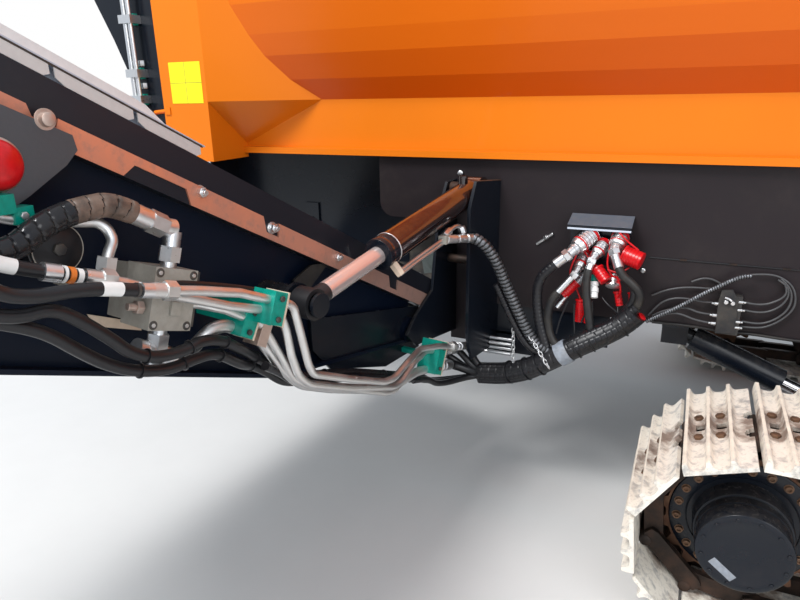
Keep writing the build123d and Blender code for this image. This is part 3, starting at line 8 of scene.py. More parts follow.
import bpy
from mathutils import Matrix, Vector
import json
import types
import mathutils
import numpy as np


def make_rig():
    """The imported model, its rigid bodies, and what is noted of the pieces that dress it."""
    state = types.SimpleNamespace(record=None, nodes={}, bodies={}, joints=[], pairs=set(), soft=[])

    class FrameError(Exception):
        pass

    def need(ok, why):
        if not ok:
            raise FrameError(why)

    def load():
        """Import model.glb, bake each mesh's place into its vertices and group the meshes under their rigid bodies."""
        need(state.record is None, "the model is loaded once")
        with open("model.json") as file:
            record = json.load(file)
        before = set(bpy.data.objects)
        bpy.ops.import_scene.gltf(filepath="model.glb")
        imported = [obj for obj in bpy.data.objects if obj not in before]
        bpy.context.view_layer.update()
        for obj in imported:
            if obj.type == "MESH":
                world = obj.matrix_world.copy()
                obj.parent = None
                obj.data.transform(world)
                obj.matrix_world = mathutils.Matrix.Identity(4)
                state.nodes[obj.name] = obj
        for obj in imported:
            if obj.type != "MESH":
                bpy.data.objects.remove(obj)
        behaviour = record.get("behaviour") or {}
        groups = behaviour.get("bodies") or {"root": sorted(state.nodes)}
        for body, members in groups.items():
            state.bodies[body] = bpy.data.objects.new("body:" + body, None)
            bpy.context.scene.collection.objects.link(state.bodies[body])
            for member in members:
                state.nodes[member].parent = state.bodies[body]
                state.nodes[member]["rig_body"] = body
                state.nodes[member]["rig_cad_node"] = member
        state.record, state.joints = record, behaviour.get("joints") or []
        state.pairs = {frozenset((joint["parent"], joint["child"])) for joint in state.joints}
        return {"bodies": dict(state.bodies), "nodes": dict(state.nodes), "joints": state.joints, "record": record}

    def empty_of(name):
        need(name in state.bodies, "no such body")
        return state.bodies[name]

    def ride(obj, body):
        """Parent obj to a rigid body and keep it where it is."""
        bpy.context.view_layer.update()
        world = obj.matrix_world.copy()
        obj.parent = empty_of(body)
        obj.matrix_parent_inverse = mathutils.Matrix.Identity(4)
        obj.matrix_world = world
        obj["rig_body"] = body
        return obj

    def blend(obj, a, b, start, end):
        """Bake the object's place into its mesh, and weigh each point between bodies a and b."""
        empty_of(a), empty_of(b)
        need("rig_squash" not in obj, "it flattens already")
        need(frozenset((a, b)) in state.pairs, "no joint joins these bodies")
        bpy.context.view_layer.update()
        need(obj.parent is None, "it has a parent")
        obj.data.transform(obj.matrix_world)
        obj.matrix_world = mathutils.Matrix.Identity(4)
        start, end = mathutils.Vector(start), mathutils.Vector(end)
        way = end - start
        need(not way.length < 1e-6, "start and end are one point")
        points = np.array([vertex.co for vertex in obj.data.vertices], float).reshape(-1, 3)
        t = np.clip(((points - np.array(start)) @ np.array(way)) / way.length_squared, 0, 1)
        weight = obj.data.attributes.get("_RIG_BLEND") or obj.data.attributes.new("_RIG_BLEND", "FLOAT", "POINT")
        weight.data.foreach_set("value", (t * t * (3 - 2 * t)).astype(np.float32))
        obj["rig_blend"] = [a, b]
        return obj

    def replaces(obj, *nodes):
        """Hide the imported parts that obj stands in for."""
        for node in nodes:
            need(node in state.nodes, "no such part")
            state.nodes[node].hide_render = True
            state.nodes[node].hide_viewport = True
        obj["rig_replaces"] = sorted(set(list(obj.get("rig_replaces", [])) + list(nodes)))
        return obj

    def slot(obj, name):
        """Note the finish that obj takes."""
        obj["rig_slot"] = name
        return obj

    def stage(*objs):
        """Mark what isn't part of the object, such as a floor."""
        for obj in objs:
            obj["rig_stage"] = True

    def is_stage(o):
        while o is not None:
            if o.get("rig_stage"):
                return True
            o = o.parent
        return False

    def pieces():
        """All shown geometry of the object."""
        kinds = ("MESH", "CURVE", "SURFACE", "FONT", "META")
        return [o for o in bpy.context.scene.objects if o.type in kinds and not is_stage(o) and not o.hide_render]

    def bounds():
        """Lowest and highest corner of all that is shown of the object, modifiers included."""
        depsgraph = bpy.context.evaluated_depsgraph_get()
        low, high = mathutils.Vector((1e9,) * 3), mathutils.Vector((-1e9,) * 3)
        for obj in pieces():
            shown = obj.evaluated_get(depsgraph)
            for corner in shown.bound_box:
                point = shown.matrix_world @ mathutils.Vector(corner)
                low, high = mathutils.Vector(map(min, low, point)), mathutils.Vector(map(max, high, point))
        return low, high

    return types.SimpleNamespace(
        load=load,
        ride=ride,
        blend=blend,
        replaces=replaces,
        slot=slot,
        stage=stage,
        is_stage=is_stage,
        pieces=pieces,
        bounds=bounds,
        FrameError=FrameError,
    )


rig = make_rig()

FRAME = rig.load()
NODES = FRAME["nodes"]
SIZES = "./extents.json"

# The photograph's camera: focal length in pixels, place in metres, angles in degrees
FOCAL_PX = 628
CAMERA_AT = (-1.56, -3.013, 1.59)
CAMERA_TILT = 18.2
CAMERA_YAW = 25.1
CAMERA_ROLL = 1.05
SENSOR = 36.0
PICTURE_WIDTH = 800
FLOOR_HALF = 60.0

# Side conveyor's own frame: its origin in metres, its turn and slope in degrees
CONV_AT = (-2.440, -0.763)
CONV_TURN = 10
CONV_INCLINE = 28.4
BEAM_TOP = 866      # height of the beam's top edge at its tail in mm

# Crawler tracks in mm
SHOE_COUNT = 37
SHOE_PITCH = 190
SHOE_HALF_WIDTH = 250
WHEEL_X = 1310
TRACK_Y = 1100
PIN_RADIUS = (SHOE_COUNT * SHOE_PITCH - 4 * WHEEL_X) / (2 * math.pi)
SHOE_OUT = 30       # top of the shoe's plate over the line of the chain's pins
GROUSER = 25        # height of a grouser over that plate
PLATE = -12         # underside of the shoe
HOLE_HALF = 17      # half length of the holes across the shoe
NOTCH_AT = 56       # notches in the shoe's rear edge, from its middle
NOTCH_R = 24
NOTCH_STEPS = 6
SHOE_GAP = 5
LINK_FOOT = -52     # underside of the chain's links under the line of pins
# Outline of a chain link along the chain
LINK = (
    (-116, -44), (-116, -14), (-92, 4), (92, 4), (116, -14), (116, -44), (96, LINK_FOOT), (-96, LINK_FOOT),
)
CHAIN_PIN_R = 19
CHAIN_PIN_HALF = 84
SHOE_BOLT_Y = 62    # bolts from the middle of the shoe
WHEEL_TEETH = 19
WHEEL_HALF = 40     # half thickness of the toothed wheel
FLANGE_BOLTS = 22
CAP_BOLTS = 12
AXLE_Z = PIN_RADIUS + SHOE_OUT + GROUSER

HOPPER_POST_Y = 890
DECAL = (-3596, -3430, 1566, 1728)      # X and Z, from and to
DOME = (1552, 1484)                     # out and height, as the next
ACTUATOR_AT = (1470, 1316)

# Luffing ram in the conveyor's frame: base pin and eye; its hose and thin pipes in the machine's frame
RAM_BASE = (-60, 120, 1242)
RAM_EYE = (880, 120, 1053)
RAM_HOSE = (
    (-2253, -905, 1094), (-2230, -906, 1088), (-2205, -900, 1068), (-2174, -885, 1016),
    (-2143, -867, 932), (-2109, -857, 856), (-2074, -850, 778), (-2043, -847, 727), (-2008, -843, 680),
    (-1960, -832, 668),
)
RAM_PIPE = (
    (-2315, -1045, 1114), (-2322, -1075, 1107), (-2343, -1182, 1087), (-2356, -1262, 1071),
    (-2362, -1296, 1064),
)
RAM_ELBOW = (
    (-2316, -1030, 1122), (-2311, -992, 1136), (-2302, -950, 1144), (-2293, -925, 1136),
    (-2284, -922, 1112),
)
# Ends of the rigid pipes at the hinge: out, across, height and radius in the conveyor's frame
PIPE_ENDS = ((160, 118, 656, 11), (150, 158, 678, 11), (170, 74, 628, 11), (180, 104, 596, 16))
# Crimped end of a pipe's hose: from and to along it, and how much wider than the pipe
CRIMP = ((0, 22, 2), (22, 30, 5), (30, 47, 2), (47, 102, 5), (102, 109, 3))

# Couplers: radius, root, end of the red ring, end of the body, end of the sleeve, then the hose's radius,
# whether it is wrapped, and the rest of its route
COUPLERS = (
    (31, (-1869, -716, 1100), (-1896, -752, 1073), (-1935, -799, 1037), (-1976, -810, 1000), 18, True,
     ((-1996, -815, 981), (-2030, -816, 940), (-2035, -818, 860), (-2010, -830, 740), (-1970, -838, 650))),
    (22, (-1824, -716, 1070), (-1830, -740, 1057), (-1855, -774, 1018), (-1862, -790, 985), 15, False,
     ((-1866, -798, 968), (-1864, -804, 913), (-1850, -812, 840), (-1830, -818, 745))),
    (20, (-1886, -716, 1025), (-1892, -745, 1014), (-1907, -790, 965), (-1960, -812, 897), 15, False,
     ((-1976, -818, 877), (-1990, -822, 830), (-1985, -822, 750), (-1950, -832, 690), (-1900, -836, 690))),
    (29, (-1772, -716, 1096), (-1775, -735, 1088), (-1784, -770, 1056), (-1760, -799, 1004), 15, False,
     ((-1750, -810, 983), (-1715, -812, 960), (-1680, -802, 920), (-1690, -795, 860), (-1730, -795, 800))),
)
# A loose hose beside them
LOOSE_HOSE = (
    (-1748, -800, 982), (-1725, -806, 968), (-1706, -802, 940), (-1702, -796, 905), (-1712, -790, 870),
    (-1740, -790, 830),
)
BUNDLE = (
    (-2249, -800, 526), (-2163, -810, 540), (-2080, -830, 570), (-1985, -839, 629), (-1883, -835, 706),
    (-1803, -815, 750), (-1725, -800, 800), (-1690, -795, 845),
)
# Dust caps: ends and radius
DUST_CAPS = (
    ((-1752, -762, 1046), (-1690, -776, 1028), 33), ((-1838, -760, 985), (-1800, -782, 948), 23),
    ((-1905, -758, 928), (-1950, -778, 878), 21), ((-1888, -750, 862), (-1886, -758, 776), 17),
    ((-1862, -746, 850), (-1856, -752, 772), 15), ((-1764, -742, 905), (-1750, -748, 852), 14),
    ((-1716, -738, 905), (-1712, -744, 878), 12), ((-1700, -778, 800), (-1668, -784, 836), 17),
)
# Red cords from the caps to their couplers
STRAPS = (
    ((-1776, -742, 1118), (-1752, -756, 1096), (-1728, -762, 1080), (-1705, -766, 1064)),
    ((-1760, -740, 1060), (-1748, -758, 1010), (-1752, -772, 968), (-1765, -770, 930)),
    ((-1797, -744, 1088), (-1806, -760, 1030), (-1800, -770, 985), (-1780, -768, 962)),
    ((-1904, -744, 1052), (-1922, -760, 1006), (-1932, -768, 960), (-1925, -764, 925)),
    ((-1858, -742, 1050), (-1872, -756, 1012), (-1850, -768, 990), (-1826, -768, 982)),
    ((-1890, -742, 1040), (-1870, -752, 1020), (-1856, -760, 1000), (-1830, -764, 992)),
    ((-1730, -764, 1000), (-1752, -776, 984), (-1778, -774, 980), (-1800, -770, 988)),
    ((-1768, -770, 966), (-1752, -776, 940), (-1750, -768, 900), (-1760, -752, 880)),
    ((-1905, -752, 900), (-1892, -752, 872), (-1888, -752, 860), (-1884, -752, 840)),
    ((-1846, -748, 880), (-1856, -750, 866), (-1862, -750, 850), (-1862, -750, 840)),
)
# Thin wires behind the caps
WIRES = (
    ((-1842, -794, 872), (-1846, -798, 850), (-1862, -800, 822), (-1872, -806, 790)),
    ((-1842, -794, 872), (-1836, -800, 840), (-1834, -806, 806), (-1826, -812, 780)),
    ((-1812, -760, 880), (-1790, -780, 862), (-1762, -786, 846), (-1740, -790, 830)),
    ((-1756, -752, 848), (-1752, -770, 826), (-1742, -786, 812), (-1722, -792, 800)),
    ((-1712, -744, 876), (-1694, -764, 856), (-1684, -780, 842), (-1680, -790, 832)),
    ((-1925, -790, 860), (-1940, -800, 820), (-1950, -812, 780), (-1955, -820, 740)),
    ((-1905, -780, 850), (-1900, -796, 800), (-1893, -806, 760), (-1890, -812, 730)),
)
# Chains: both ends
CHAINS = (((-2115, -826, 742), (-2106, -838, 600)), ((-2043, -862, 734), (-1954, -886, 618)))

# Grease lines on the side plate: X and Z
GREASE_PLATE = (
    (-1429, 931), (-1396, 935), (-1375, 899), (-1373, 848), (-1374, 804), (-1372, 780), (-1429, 776),
    (-1434, 840), (-1435, 891),
)
NIPPLES = (
    (-1441, 879), (-1442, 836), (-1443, 806), (-1364, 893), (-1364, 864), (-1365, 821), (-1364, 800),
)
GREASE_RUNS = (
    (-664, ((-1651, 878), (-1617, 899), (-1565, 917), (-1513, 924), (-1458, 924), (-1432, 932))),
    (-672, ((-1655, 804), (-1626, 849), (-1596, 872), (-1561, 882), (-1518, 882), (-1486, 875),
            (-1452, 878))),
    (-678, ((-1640, 806), (-1609, 831), (-1540, 850), (-1518, 847), (-1489, 836), (-1452, 836))),
    (-684, ((-1645, 790), (-1610, 812), (-1573, 829), (-1537, 824), (-1500, 810), (-1452, 806))),
    (-660, ((-1526, 942), (-1500, 957), (-1476, 960), (-1455, 956), (-1437, 946))),
    (-678, ((-1356, 893), (-1330, 888), (-1292, 892), (-1265, 906), (-1245, 922), (-1236, 944),
            (-1246, 966))),
    (-674, ((-1356, 864), (-1326, 859), (-1287, 863), (-1258, 880), (-1239, 902), (-1229, 933), (-1240, 965),
            (-1268, 980))),
    (-670, ((-1356, 821), (-1320, 817), (-1282, 823), (-1247, 848), (-1224, 880), (-1218, 919), (-1230, 959),
            (-1260, 984))),
    (-666, ((-1356, 800), (-1318, 800), (-1279, 807), (-1236, 840), (-1207, 882), (-1207, 924), (-1224, 964),
            (-1260, 988), (-1289, 994), (-1321, 992), (-1346, 988))),
)
CONDUIT = (
    (-1659, 785), (-1624, 809), (-1573, 842), (-1525, 879), (-1493, 905), (-1462, 928), (-1431, 949),
    (-1401, 970), (-1371, 986), (-1346, 990),
)
SILL_HOSE = (
    (-1641, 774), (-1567, 776), (-1495, 776), (-1449, 773), (-1407, 770), (-1339, 773), (-1290, 773),
    (-1224, 769), (-1170, 769),
)
SEAM = ((-1673, 1015), (-1208, 1012))
SEAM_CLIPS = ((-1562, 1016), (-1404, 1015), (-1246, 1014))


def note_size(mode):
    """Write the shown object's box as one line."""
    low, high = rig.bounds()
    with open(SIZES, mode) as out:
        out.write(f"[{[round(v, 5) for v in low]}, {[round(v, 5) for v in high]}]\n")


# Places

def conv(s, v, z):
    """Place of a point given in the conveyor's own frame: out, across and height in mm."""
    turn = math.radians(CONV_TURN)
    x = CONV_AT[0] + (math.cos(turn) * v - math.sin(turn) * s) / 1000
    y = CONV_AT[1] - (math.cos(turn) * s + math.sin(turn) * v) / 1000
    return Vector((x, y, z / 1000))


def mach(x, y, z):
    """Place of a point given in the machine's frame in mm."""
    return Vector((x, y, z)) / 1000


def on_beam(s, z, v):
    """Place on an upright plane along the conveyor."""
    return conv(s, v, z)


def on_side(x, z, y):
    """Place on an upright plane along the machine."""
    return mach(x, y, z)


def slope_axes(tilt):
    """Directions up a slope on the conveyor's side, across the conveyor, and square to both."""
    turn = math.radians(tilt)
    up_slope = (conv(math.cos(turn), 0, math.sin(turn)) - conv(0, 0, 0)).normalized()
    across = (conv(0, 1, 0) - conv(0, 0, 0)).normalized()
    return up_slope, across, up_slope.cross(across)


# Camera and light

def add_camera():
    """The camera that took the photograph."""
    tilt, yaw, roll = (math.radians(a) for a in (CAMERA_TILT, CAMERA_YAW, CAMERA_ROLL))
    ahead = Vector((-math.sin(yaw), math.cos(yaw), 0))
    right = Vector((math.cos(yaw), math.sin(yaw), 0))
    up = Vector((0, 0, 1))
    look = math.cos(tilt) * ahead - math.sin(tilt) * up
    down = -math.sin(tilt) * ahead - math.cos(tilt) * up
    right, down = (math.cos(roll) * right + math.sin(roll) * down,
                   math.cos(roll) * down - math.sin(roll) * right)
    data = bpy.data.cameras.new("photo_camera")
    data.sensor_width = SENSOR
    data.lens = FOCAL_PX * SENSOR / PICTURE_WIDTH
    camera = bpy.data.objects.new("photo_camera", data)
    bpy.context.collection.objects.link(camera)
    turn = Matrix((right, -down, -look)).transposed().to_4x4()
    camera.matrix_world = Matrix.Translation(CAMERA_AT) @ turn
    bpy.context.scene.camera = camera


def add_lamp(name, at, target, size, power):
    """A soft square lamp."""
    data = bpy.data.lights.new(name, "AREA")
    data.size = size
    data.energy = power
    lamp = bpy.data.objects.new(name, data)
    lamp.location = at
    lamp.rotation_euler = (Vector(target) - Vector(at)).to_track_quat("-Z", "Y").to_euler()
    bpy.context.collection.objects.link(lamp)


def add_world():
    """Soft light all round, a white background and plain colour."""
    bpy.context.scene.view_settings.view_transform = "Standard"
    world = bpy.data.worlds.new("studio")
    bpy.context.scene.world = world
    world.use_nodes = True
    nodes, links = world.node_tree.nodes, world.node_tree.links
    nodes.clear()
    mix = nodes.new("ShaderNodeMixShader")
    links.new(nodes.new("ShaderNodeLightPath").outputs["Is Camera Ray"], mix.inputs[0])
    # What lights the machine and what the camera sees: input, colour and strength
    for k, colour, strength in ((1, (0.84, 0.91, 1.0, 1), 0.85), (2, (1, 1, 1, 1), 1.0)):
        sky = nodes.new("ShaderNodeBackground")
        sky.inputs["Color"].default_value = colour
        sky.inputs["Strength"].default_value = strength
        links.new(sky.outputs[0], mix.inputs[k])
    links.new(mix.outputs[0], nodes.new("ShaderNodeOutputWorld").inputs["Surface"])


# Materials

class Finish:
    """A node material with short calls for its usual layers."""

    def __init__(self, name):
        self.material = bpy.data.materials.new(name)
        self.material.use_nodes = True
        self.tree = self.material.node_tree
        self.shader = self.tree.nodes["Principled BSDF"]
        self.place = self.add("ShaderNodeTexCoord").outputs["Object"]

    def add(self, kind, **inputs):
        """A node with its sockets set to values or linked."""
        node = self.tree.nodes.new(kind)
        for key, value in inputs.items():
            self.put(node.inputs[key.replace("_", " ")], value)
        return node

    def put(self, socket, value):
        """Link an output, or set a constant, on one socket."""
        if isinstance(value, bpy.types.NodeSocket):
            self.tree.links.new(value, socket)
        elif isinstance(value, tuple) and len(value) == 3 and socket.type == "RGBA":
            socket.default_value = (*value, 1)
        else:
            socket.default_value = value

    def noise(self, scale, detail=6.0):
        """Noise in the object's own frame, in features per metre."""
        node = self.add("ShaderNodeTexNoise", Vector=self.place, Scale=scale, Detail=detail, Roughness=0.6)
        return node.outputs["Fac"]

    def ramp(self, value, low, high):
        """Turn a value into 0..1 between two levels."""
        node = self.add("ShaderNodeMapRange", Value=value)
        node.inputs["From Min"].default_value = low
        node.inputs["From Max"].default_value = high
        return node.outputs["Result"]

    def maths(self, kind, a, b=0.0):
        """One sum of two values."""
        node = self.tree.nodes.new("ShaderNodeMath")
        node.operation = kind
        self.put(node.inputs[0], a)
        self.put(node.inputs[1], b)
        return node.outputs[0]

    def plus(self, a, b):
        return self.maths("ADD", a, b)

    def minus(self, a, b):
        return self.maths("SUBTRACT", a, b)

    def times(self, a, b):
        return self.maths("MULTIPLY", a, b)

    def blend(self, factor, a, b):
        """Mix of two colours."""
        node = self.tree.nodes.new("ShaderNodeMix")
        node.data_type = "RGBA"
        self.put(node.inputs["Factor"], factor)
        self.put(node.inputs[6], a)
        self.put(node.inputs[7], b)
        return node.outputs[2]

    def facing_up(self):
        """1 on level upper faces, 0 on upright ones."""
        normal = self.add("ShaderNodeNewGeometry").outputs["Normal"]
        split = self.add("ShaderNodeSeparateXYZ", Vector=normal).outputs["Z"]
        return self.ramp(split, 0.05, 0.9)

    def facing_down(self):
        """1 on walls that lean well over, 0 on upright ones and on those that face along X; the mask of paint's
        painted shade.
        """
        normal = self.add("ShaderNodeNewGeometry").outputs["Normal"]
        split = self.add("ShaderNodeSeparateXYZ", Vector=normal)
        ahead = self.maths("ABSOLUTE", split.outputs["X"])
        lean = self.ramp(split.outputs["Z"], 0.0, -0.55)
        return self.times(lean, self.ramp(ahead, 0.3, 0.05))

    def bump(self, value, depth, distance):
        """Bump of a height in metres, and how strongly it shows."""
        node = self.add("ShaderNodeBump", Height=value, Strength=depth, Distance=distance)
        self.put(self.shader.inputs["Normal"], node.outputs[0])

    def surface(self, colour, rough, metal=0.0, coat=0.0):
        """Set the shader and hand over the material."""
        self.put(self.shader.inputs["Base Color"], colour)
        self.put(self.shader.inputs["Roughness"], rough)
        self.put(self.shader.inputs["Metallic"], metal)
        self.put(self.shader.inputs["Coat Weight"], coat)
        return self.material


DUST = (0.33, 0.27, 0.20)


def paint(name, colour, gloss=0.25, dust=0.3, tint=DUST, shade=0.86, coat=0.15, shine=0.35, under=None):
    """Gloss paint, dusty on its upper faces and faintly clouded; under is a painted shade colour for walls that lean
    over. With a reflected colour as its tint, the dust layer paints that reflection on the upper faces.
    """
    f = Finish(name)
    cloud = f.ramp(f.noise(3.0, 4.0), 0.5, 0.8)
    fine = f.ramp(f.noise(45.0, 5.0), 0.25, 0.9)
    upper = f.times(f.facing_up(), 0.55)
    amount = f.plus(f.times(cloud, 0.3), upper)
    amount = f.times(f.times(amount, fine), dust)
    base = f.blend(f.ramp(f.noise(1.7, 2.0), 0.35, 0.65), colour, tuple(c * shade for c in colour))
    # Painted shade: walls that lean over take the darker under colour
    if under:
        base = f.blend(f.facing_down(), base, under)
    rough = f.plus(f.times(amount, 0.6), gloss)
    f.bump(f.noise(9.0, 2.0), 0.08, 0.003)
    f.shader.inputs["Specular IOR Level"].default_value = shine
    return f.surface(f.blend(amount, base, tint), rough, coat=coat)


def metal(name, colour, rough=0.3, rust=0.0, tint=(0.24, 0.12, 0.06), scale=18.0):
    """Bare or plated metal with dull or rusty patches of a tint."""
    f = Finish(name)
    patch = f.times(f.ramp(f.noise(scale, 8.0), 0.4, 0.7), rust)
    spread = f.plus(f.times(f.noise(90.0, 4.0), 0.3), rough - 0.1)
    f.bump(f.noise(120.0, 4.0), 0.1 + 0.3 * rust, 0.001)
    lit = f.minus(1.0, f.times(patch, 0.7))
    rough_now = f.plus(spread, f.times(patch, 0.4))
    return f.surface(f.blend(patch, colour, tint), rough_now, metal=lit)


def ram_steel(name):
    """Hard chrome of the luffing ram's rod, its pale pink-grey a painted reflection of the orange hopper, with its eye
    painted black.
    """
    f = Finish(name)
    reach = f.add("ShaderNodeVectorMath", Vector=f.place)
    reach.operation = "DISTANCE"
    reach.inputs[1].default_value = conv(*RAM_EYE)
    eye = f.ramp(reach.outputs["Value"], 0.079, 0.076)
    f.bump(f.noise(60.0, 2.0), 0.05, 0.0005)
    # Pink-grey of the rod is painted reflection of the orange hopper; black at the eye
    colour = f.blend(eye, (0.74, 0.62, 0.59), (0.012, 0.012, 0.014))
    lit = f.minus(0.65, f.times(eye, 0.65))
    return f.surface(colour, f.plus(f.times(eye, 0.2), 0.22), metal=lit)


def plain(name, colour, rough=0.5, grain=80.0, shade=0.75, dust=0.0, tint=DUST):
    """Rubber or plastic with a slight mottle, and dust where asked."""
    f = Finish(name)
    mottle = f.ramp(f.noise(grain, 5.0), 0.3, 0.7)
    f.bump(f.noise(grain * 3, 3.0), 0.15, 0.0006)
    base = f.blend(mottle, colour, tuple(c * shade for c in colour))
    if dust:
        lying = f.times(f.ramp(f.noise(22.0, 6.0), 0.35, 0.75), dust)
        base = f.blend(lying, base, tint)
    f.shader.inputs["Specular IOR Level"].default_value = 0.4
    return f.surface(base, rough)


def worn_shoes(name):
    """Track steel: cream dust, grey wear and red-brown mud in the middle of the shoes."""
    f = Finish(name)
    across = f.add("ShaderNodeSeparateXYZ", Vector=f.place).outputs["Y"]
    away = f.maths("ABSOLUTE", f.minus(f.maths("ABSOLUTE", across), TRACK_Y / 1000))
    middle = f.ramp(away, 0.19, 0.02)
    patch = f.ramp(f.plus(f.noise(16.0, 7.0), f.times(middle, 0.30)), 0.64, 0.84)
    wear = f.ramp(f.noise(30.0, 7.0), 0.5, 0.68)
    pits = f.ramp(f.noise(110.0, 4.0), 0.55, 0.75)
    colour = f.blend(wear, (0.86, 0.80, 0.70), (0.46, 0.44, 0.41))
    colour = f.blend(f.times(pits, 0.4), colour, (0.22, 0.16, 0.11))
    colour = f.blend(f.times(patch, 0.8), colour, (0.15, 0.085, 0.055))
    f.bump(f.noise(75.0, 7.0), 0.55, 0.003)
    return f.surface(colour, f.plus(f.times(patch, 0.25), 0.5), metal=0.15)


def orange_bounce_steel(name):
    """Pale grey steel with the orange bounce light off the hopper painted in as copper-pink, giving way to its own
    grey towards the chassis, with scuffs in patches.
    """
    f = Finish(name)
    split = f.add("ShaderNodeSeparateXYZ", Vector=f.place).outputs["Y"]
    near = f.ramp(split, -1.95, -1.15)
    cloud = f.ramp(f.noise(6.0, 6.0), 0.35, 0.7)
    scuff = f.ramp(f.noise(34.0, 8.0), 0.5, 0.72)
    # Painted orange bounce light: two copper-pink tones, then the steel's own grey nearer the chassis
    base = f.blend(cloud, (0.74, 0.255, 0.135), (0.52, 0.22, 0.15))
    base = f.blend(f.times(near, 0.75), base, (0.27, 0.21, 0.19))
    base = f.blend(f.times(scuff, 0.5), base, (0.24, 0.17, 0.15))
    f.bump(f.noise(40.0, 6.0), 0.2, 0.001)
    return f.surface(base, f.plus(f.times(scuff, 0.2), 0.36), metal=0.25)


# Orange of the hopper, with painted shade on the overhanging facets of its walls through under
ORANGE = paint("orange_paint", (0.75, 0.180, 0.006), 0.34, 0.10, (0.60, 0.22, 0.05), 0.95,
               coat=0.05, shine=0.2, under=(0.69, 0.096, 0.002))
BLACK = paint("black_paint", (0.006, 0.0085, 0.014), 0.24, 0.18, coat=0.0, shine=0.30)
# Painted shade: a darker, bluer copy of the black paint for the under frame, which lies in shade
SHADED_UNDER_BLACK = paint("under_frame_painted_shade", (0.0025, 0.006, 0.016), 0.34, 0.04, coat=0.0, shine=0.15)
SIDE_PAINT = paint("side_plate_paint", (0.0175, 0.0125, 0.0145), 0.45, 0.26, coat=0.0, shine=0.25)
BEAM_PAINT = paint("beam_paint", (0.014, 0.015, 0.021), 0.3, 0.25, coat=0.05, shine=0.3)
SHOE_STEEL = worn_shoes("shoe_steel")
TIP_STEEL = plain("worn_tips", (0.86, 0.77, 0.64), 0.5, 30.0, 0.75)
CHAIN_STEEL = metal("chain_steel", (0.045, 0.038, 0.035), 0.5, 0.7, (0.10, 0.05, 0.03))
RUSTY_STEEL = metal("rusty_steel", (0.15, 0.085, 0.055), 0.55, 0.9, (0.12, 0.052, 0.03), scale=30.0)
BOLT_STEEL = metal("bolt_steel", (0.20, 0.13, 0.09), 0.5, 0.6)
BARE_STEEL = metal("bare_steel", (0.62, 0.50, 0.44), 0.4, 0.35)
# Ram barrel: the dust layer's copper-orange tint on its upper faces is painted reflection of the orange hopper
BARREL_PAINT = paint("barrel_paint", (0.014, 0.008, 0.008), 0.12, 0.6, (0.30, 0.085, 0.03),
                     coat=0.7, shine=0.9)
# Near beam's strip: its copper-pink is painted bounce light from the orange hopper
STRIP_ORANGE_BOUNCE = orange_bounce_steel("strip_painted_orange_bounce")
CHROME = metal("chrome", (0.80, 0.78, 0.80), 0.16)
ROD_CHROME = ram_steel("ram_rod_chrome")
ZINC = metal("zinc", (0.74, 0.75, 0.76), 0.26, 0.15)
PIPE_ZINC = metal("pipe_zinc", (0.72, 0.72, 0.71), 0.33, 0.2, (0.42, 0.30, 0.24))
VALVE_METAL = plain("valve_casting", (0.36, 0.34, 0.30), 0.42, 60.0, 0.8, 0.35, (0.22, 0.18, 0.13))
DARK_CAST = plain("dark_casting", (0.030, 0.030, 0.032), 0.45, 60.0, 0.7, 0.3)
RUBBER = plain("rubber", (0.020, 0.020, 0.021), 0.6)
HOSE = plain("hose", (0.012, 0.012, 0.014), 0.35)
GUARD = plain("spiral_guard", (0.009, 0.0095, 0.013), 0.2, 50.0, 0.7, 0.04)
BUNDLE_GUARD = plain("bundle_guard", (0.008, 0.0085, 0.012), 0.34, 50.0, 0.7, 0.03)
BLOCK_CAST = plain("grease_block_casting", (0.022, 0.022, 0.024), 0.5, 60.0, 0.75, 0.12)
LINE_GREY = plain("grease_line", (0.075, 0.075, 0.078), 0.4)
WRAP = metal("wrap_sheen", (0.24, 0.25, 0.27), 0.3, 0.7, (0.03, 0.028, 0.028), scale=40.0)
GAP = plain("wrap_gap", (0.004, 0.004, 0.004), 0.7)
DUSTY_GUARD = plain("dusty_guard", (0.07, 0.05, 0.04), 0.45, 50.0, 0.7, 0.75, (0.30, 0.20, 0.15))
DUSTY_HOSE = plain("dusty_hose", (0.013, 0.013, 0.0145), 0.42, 50.0, 0.7, 0.08)
TEAL = plain("teal", (0.0, 0.28, 0.21), 0.35)
RED = plain("red", (0.62, 0.006, 0.010), 0.3)
# White of labels, clamps and plugs, also used for painted sky reflection on the conveyor's far side
WHITE = plain("white_labels_and_sky_sheen", (0.80, 0.80, 0.78), 0.4, 40.0, 0.92)
LABEL_GREY = plain("grey_label", (0.30, 0.34, 0.40), 0.4, 60.0, 0.6, 0.3)
LABEL_ORANGE = plain("orange_band", (0.75, 0.20, 0.03), 0.4)
YELLOW = plain("yellow_decal", (0.86, 0.78, 0.01), 0.35, 20.0, 0.97)
CREAM = plain("cream_strip", (0.70, 0.55, 0.42), 0.45, 40.0, 0.85, 0.2)
# Pale blue as painted sky reflection, on the conveyor's far skirt and the front edge of the coupler box's lid
PALE = paint("pale_sky_sheen", (0.60, 0.66, 0.76), 0.3, 0.3)
LID_PAINT = paint("lid_paint", (0.095, 0.11, 0.14), 0.4, 0.35, coat=0.0)
STAY_STEEL = metal("stay_steel", (0.26, 0.31, 0.30), 0.4, 0.5, (0.10, 0.10, 0.10))
GUSSET_STEEL = metal("gusset_steel", (0.115, 0.125, 0.14), 0.3, 0.4, (0.07, 0.065, 0.06), scale=5.0)
FLOOR = plain("floor", (0.66, 0.655, 0.64), 0.9, 4.0, 0.97)

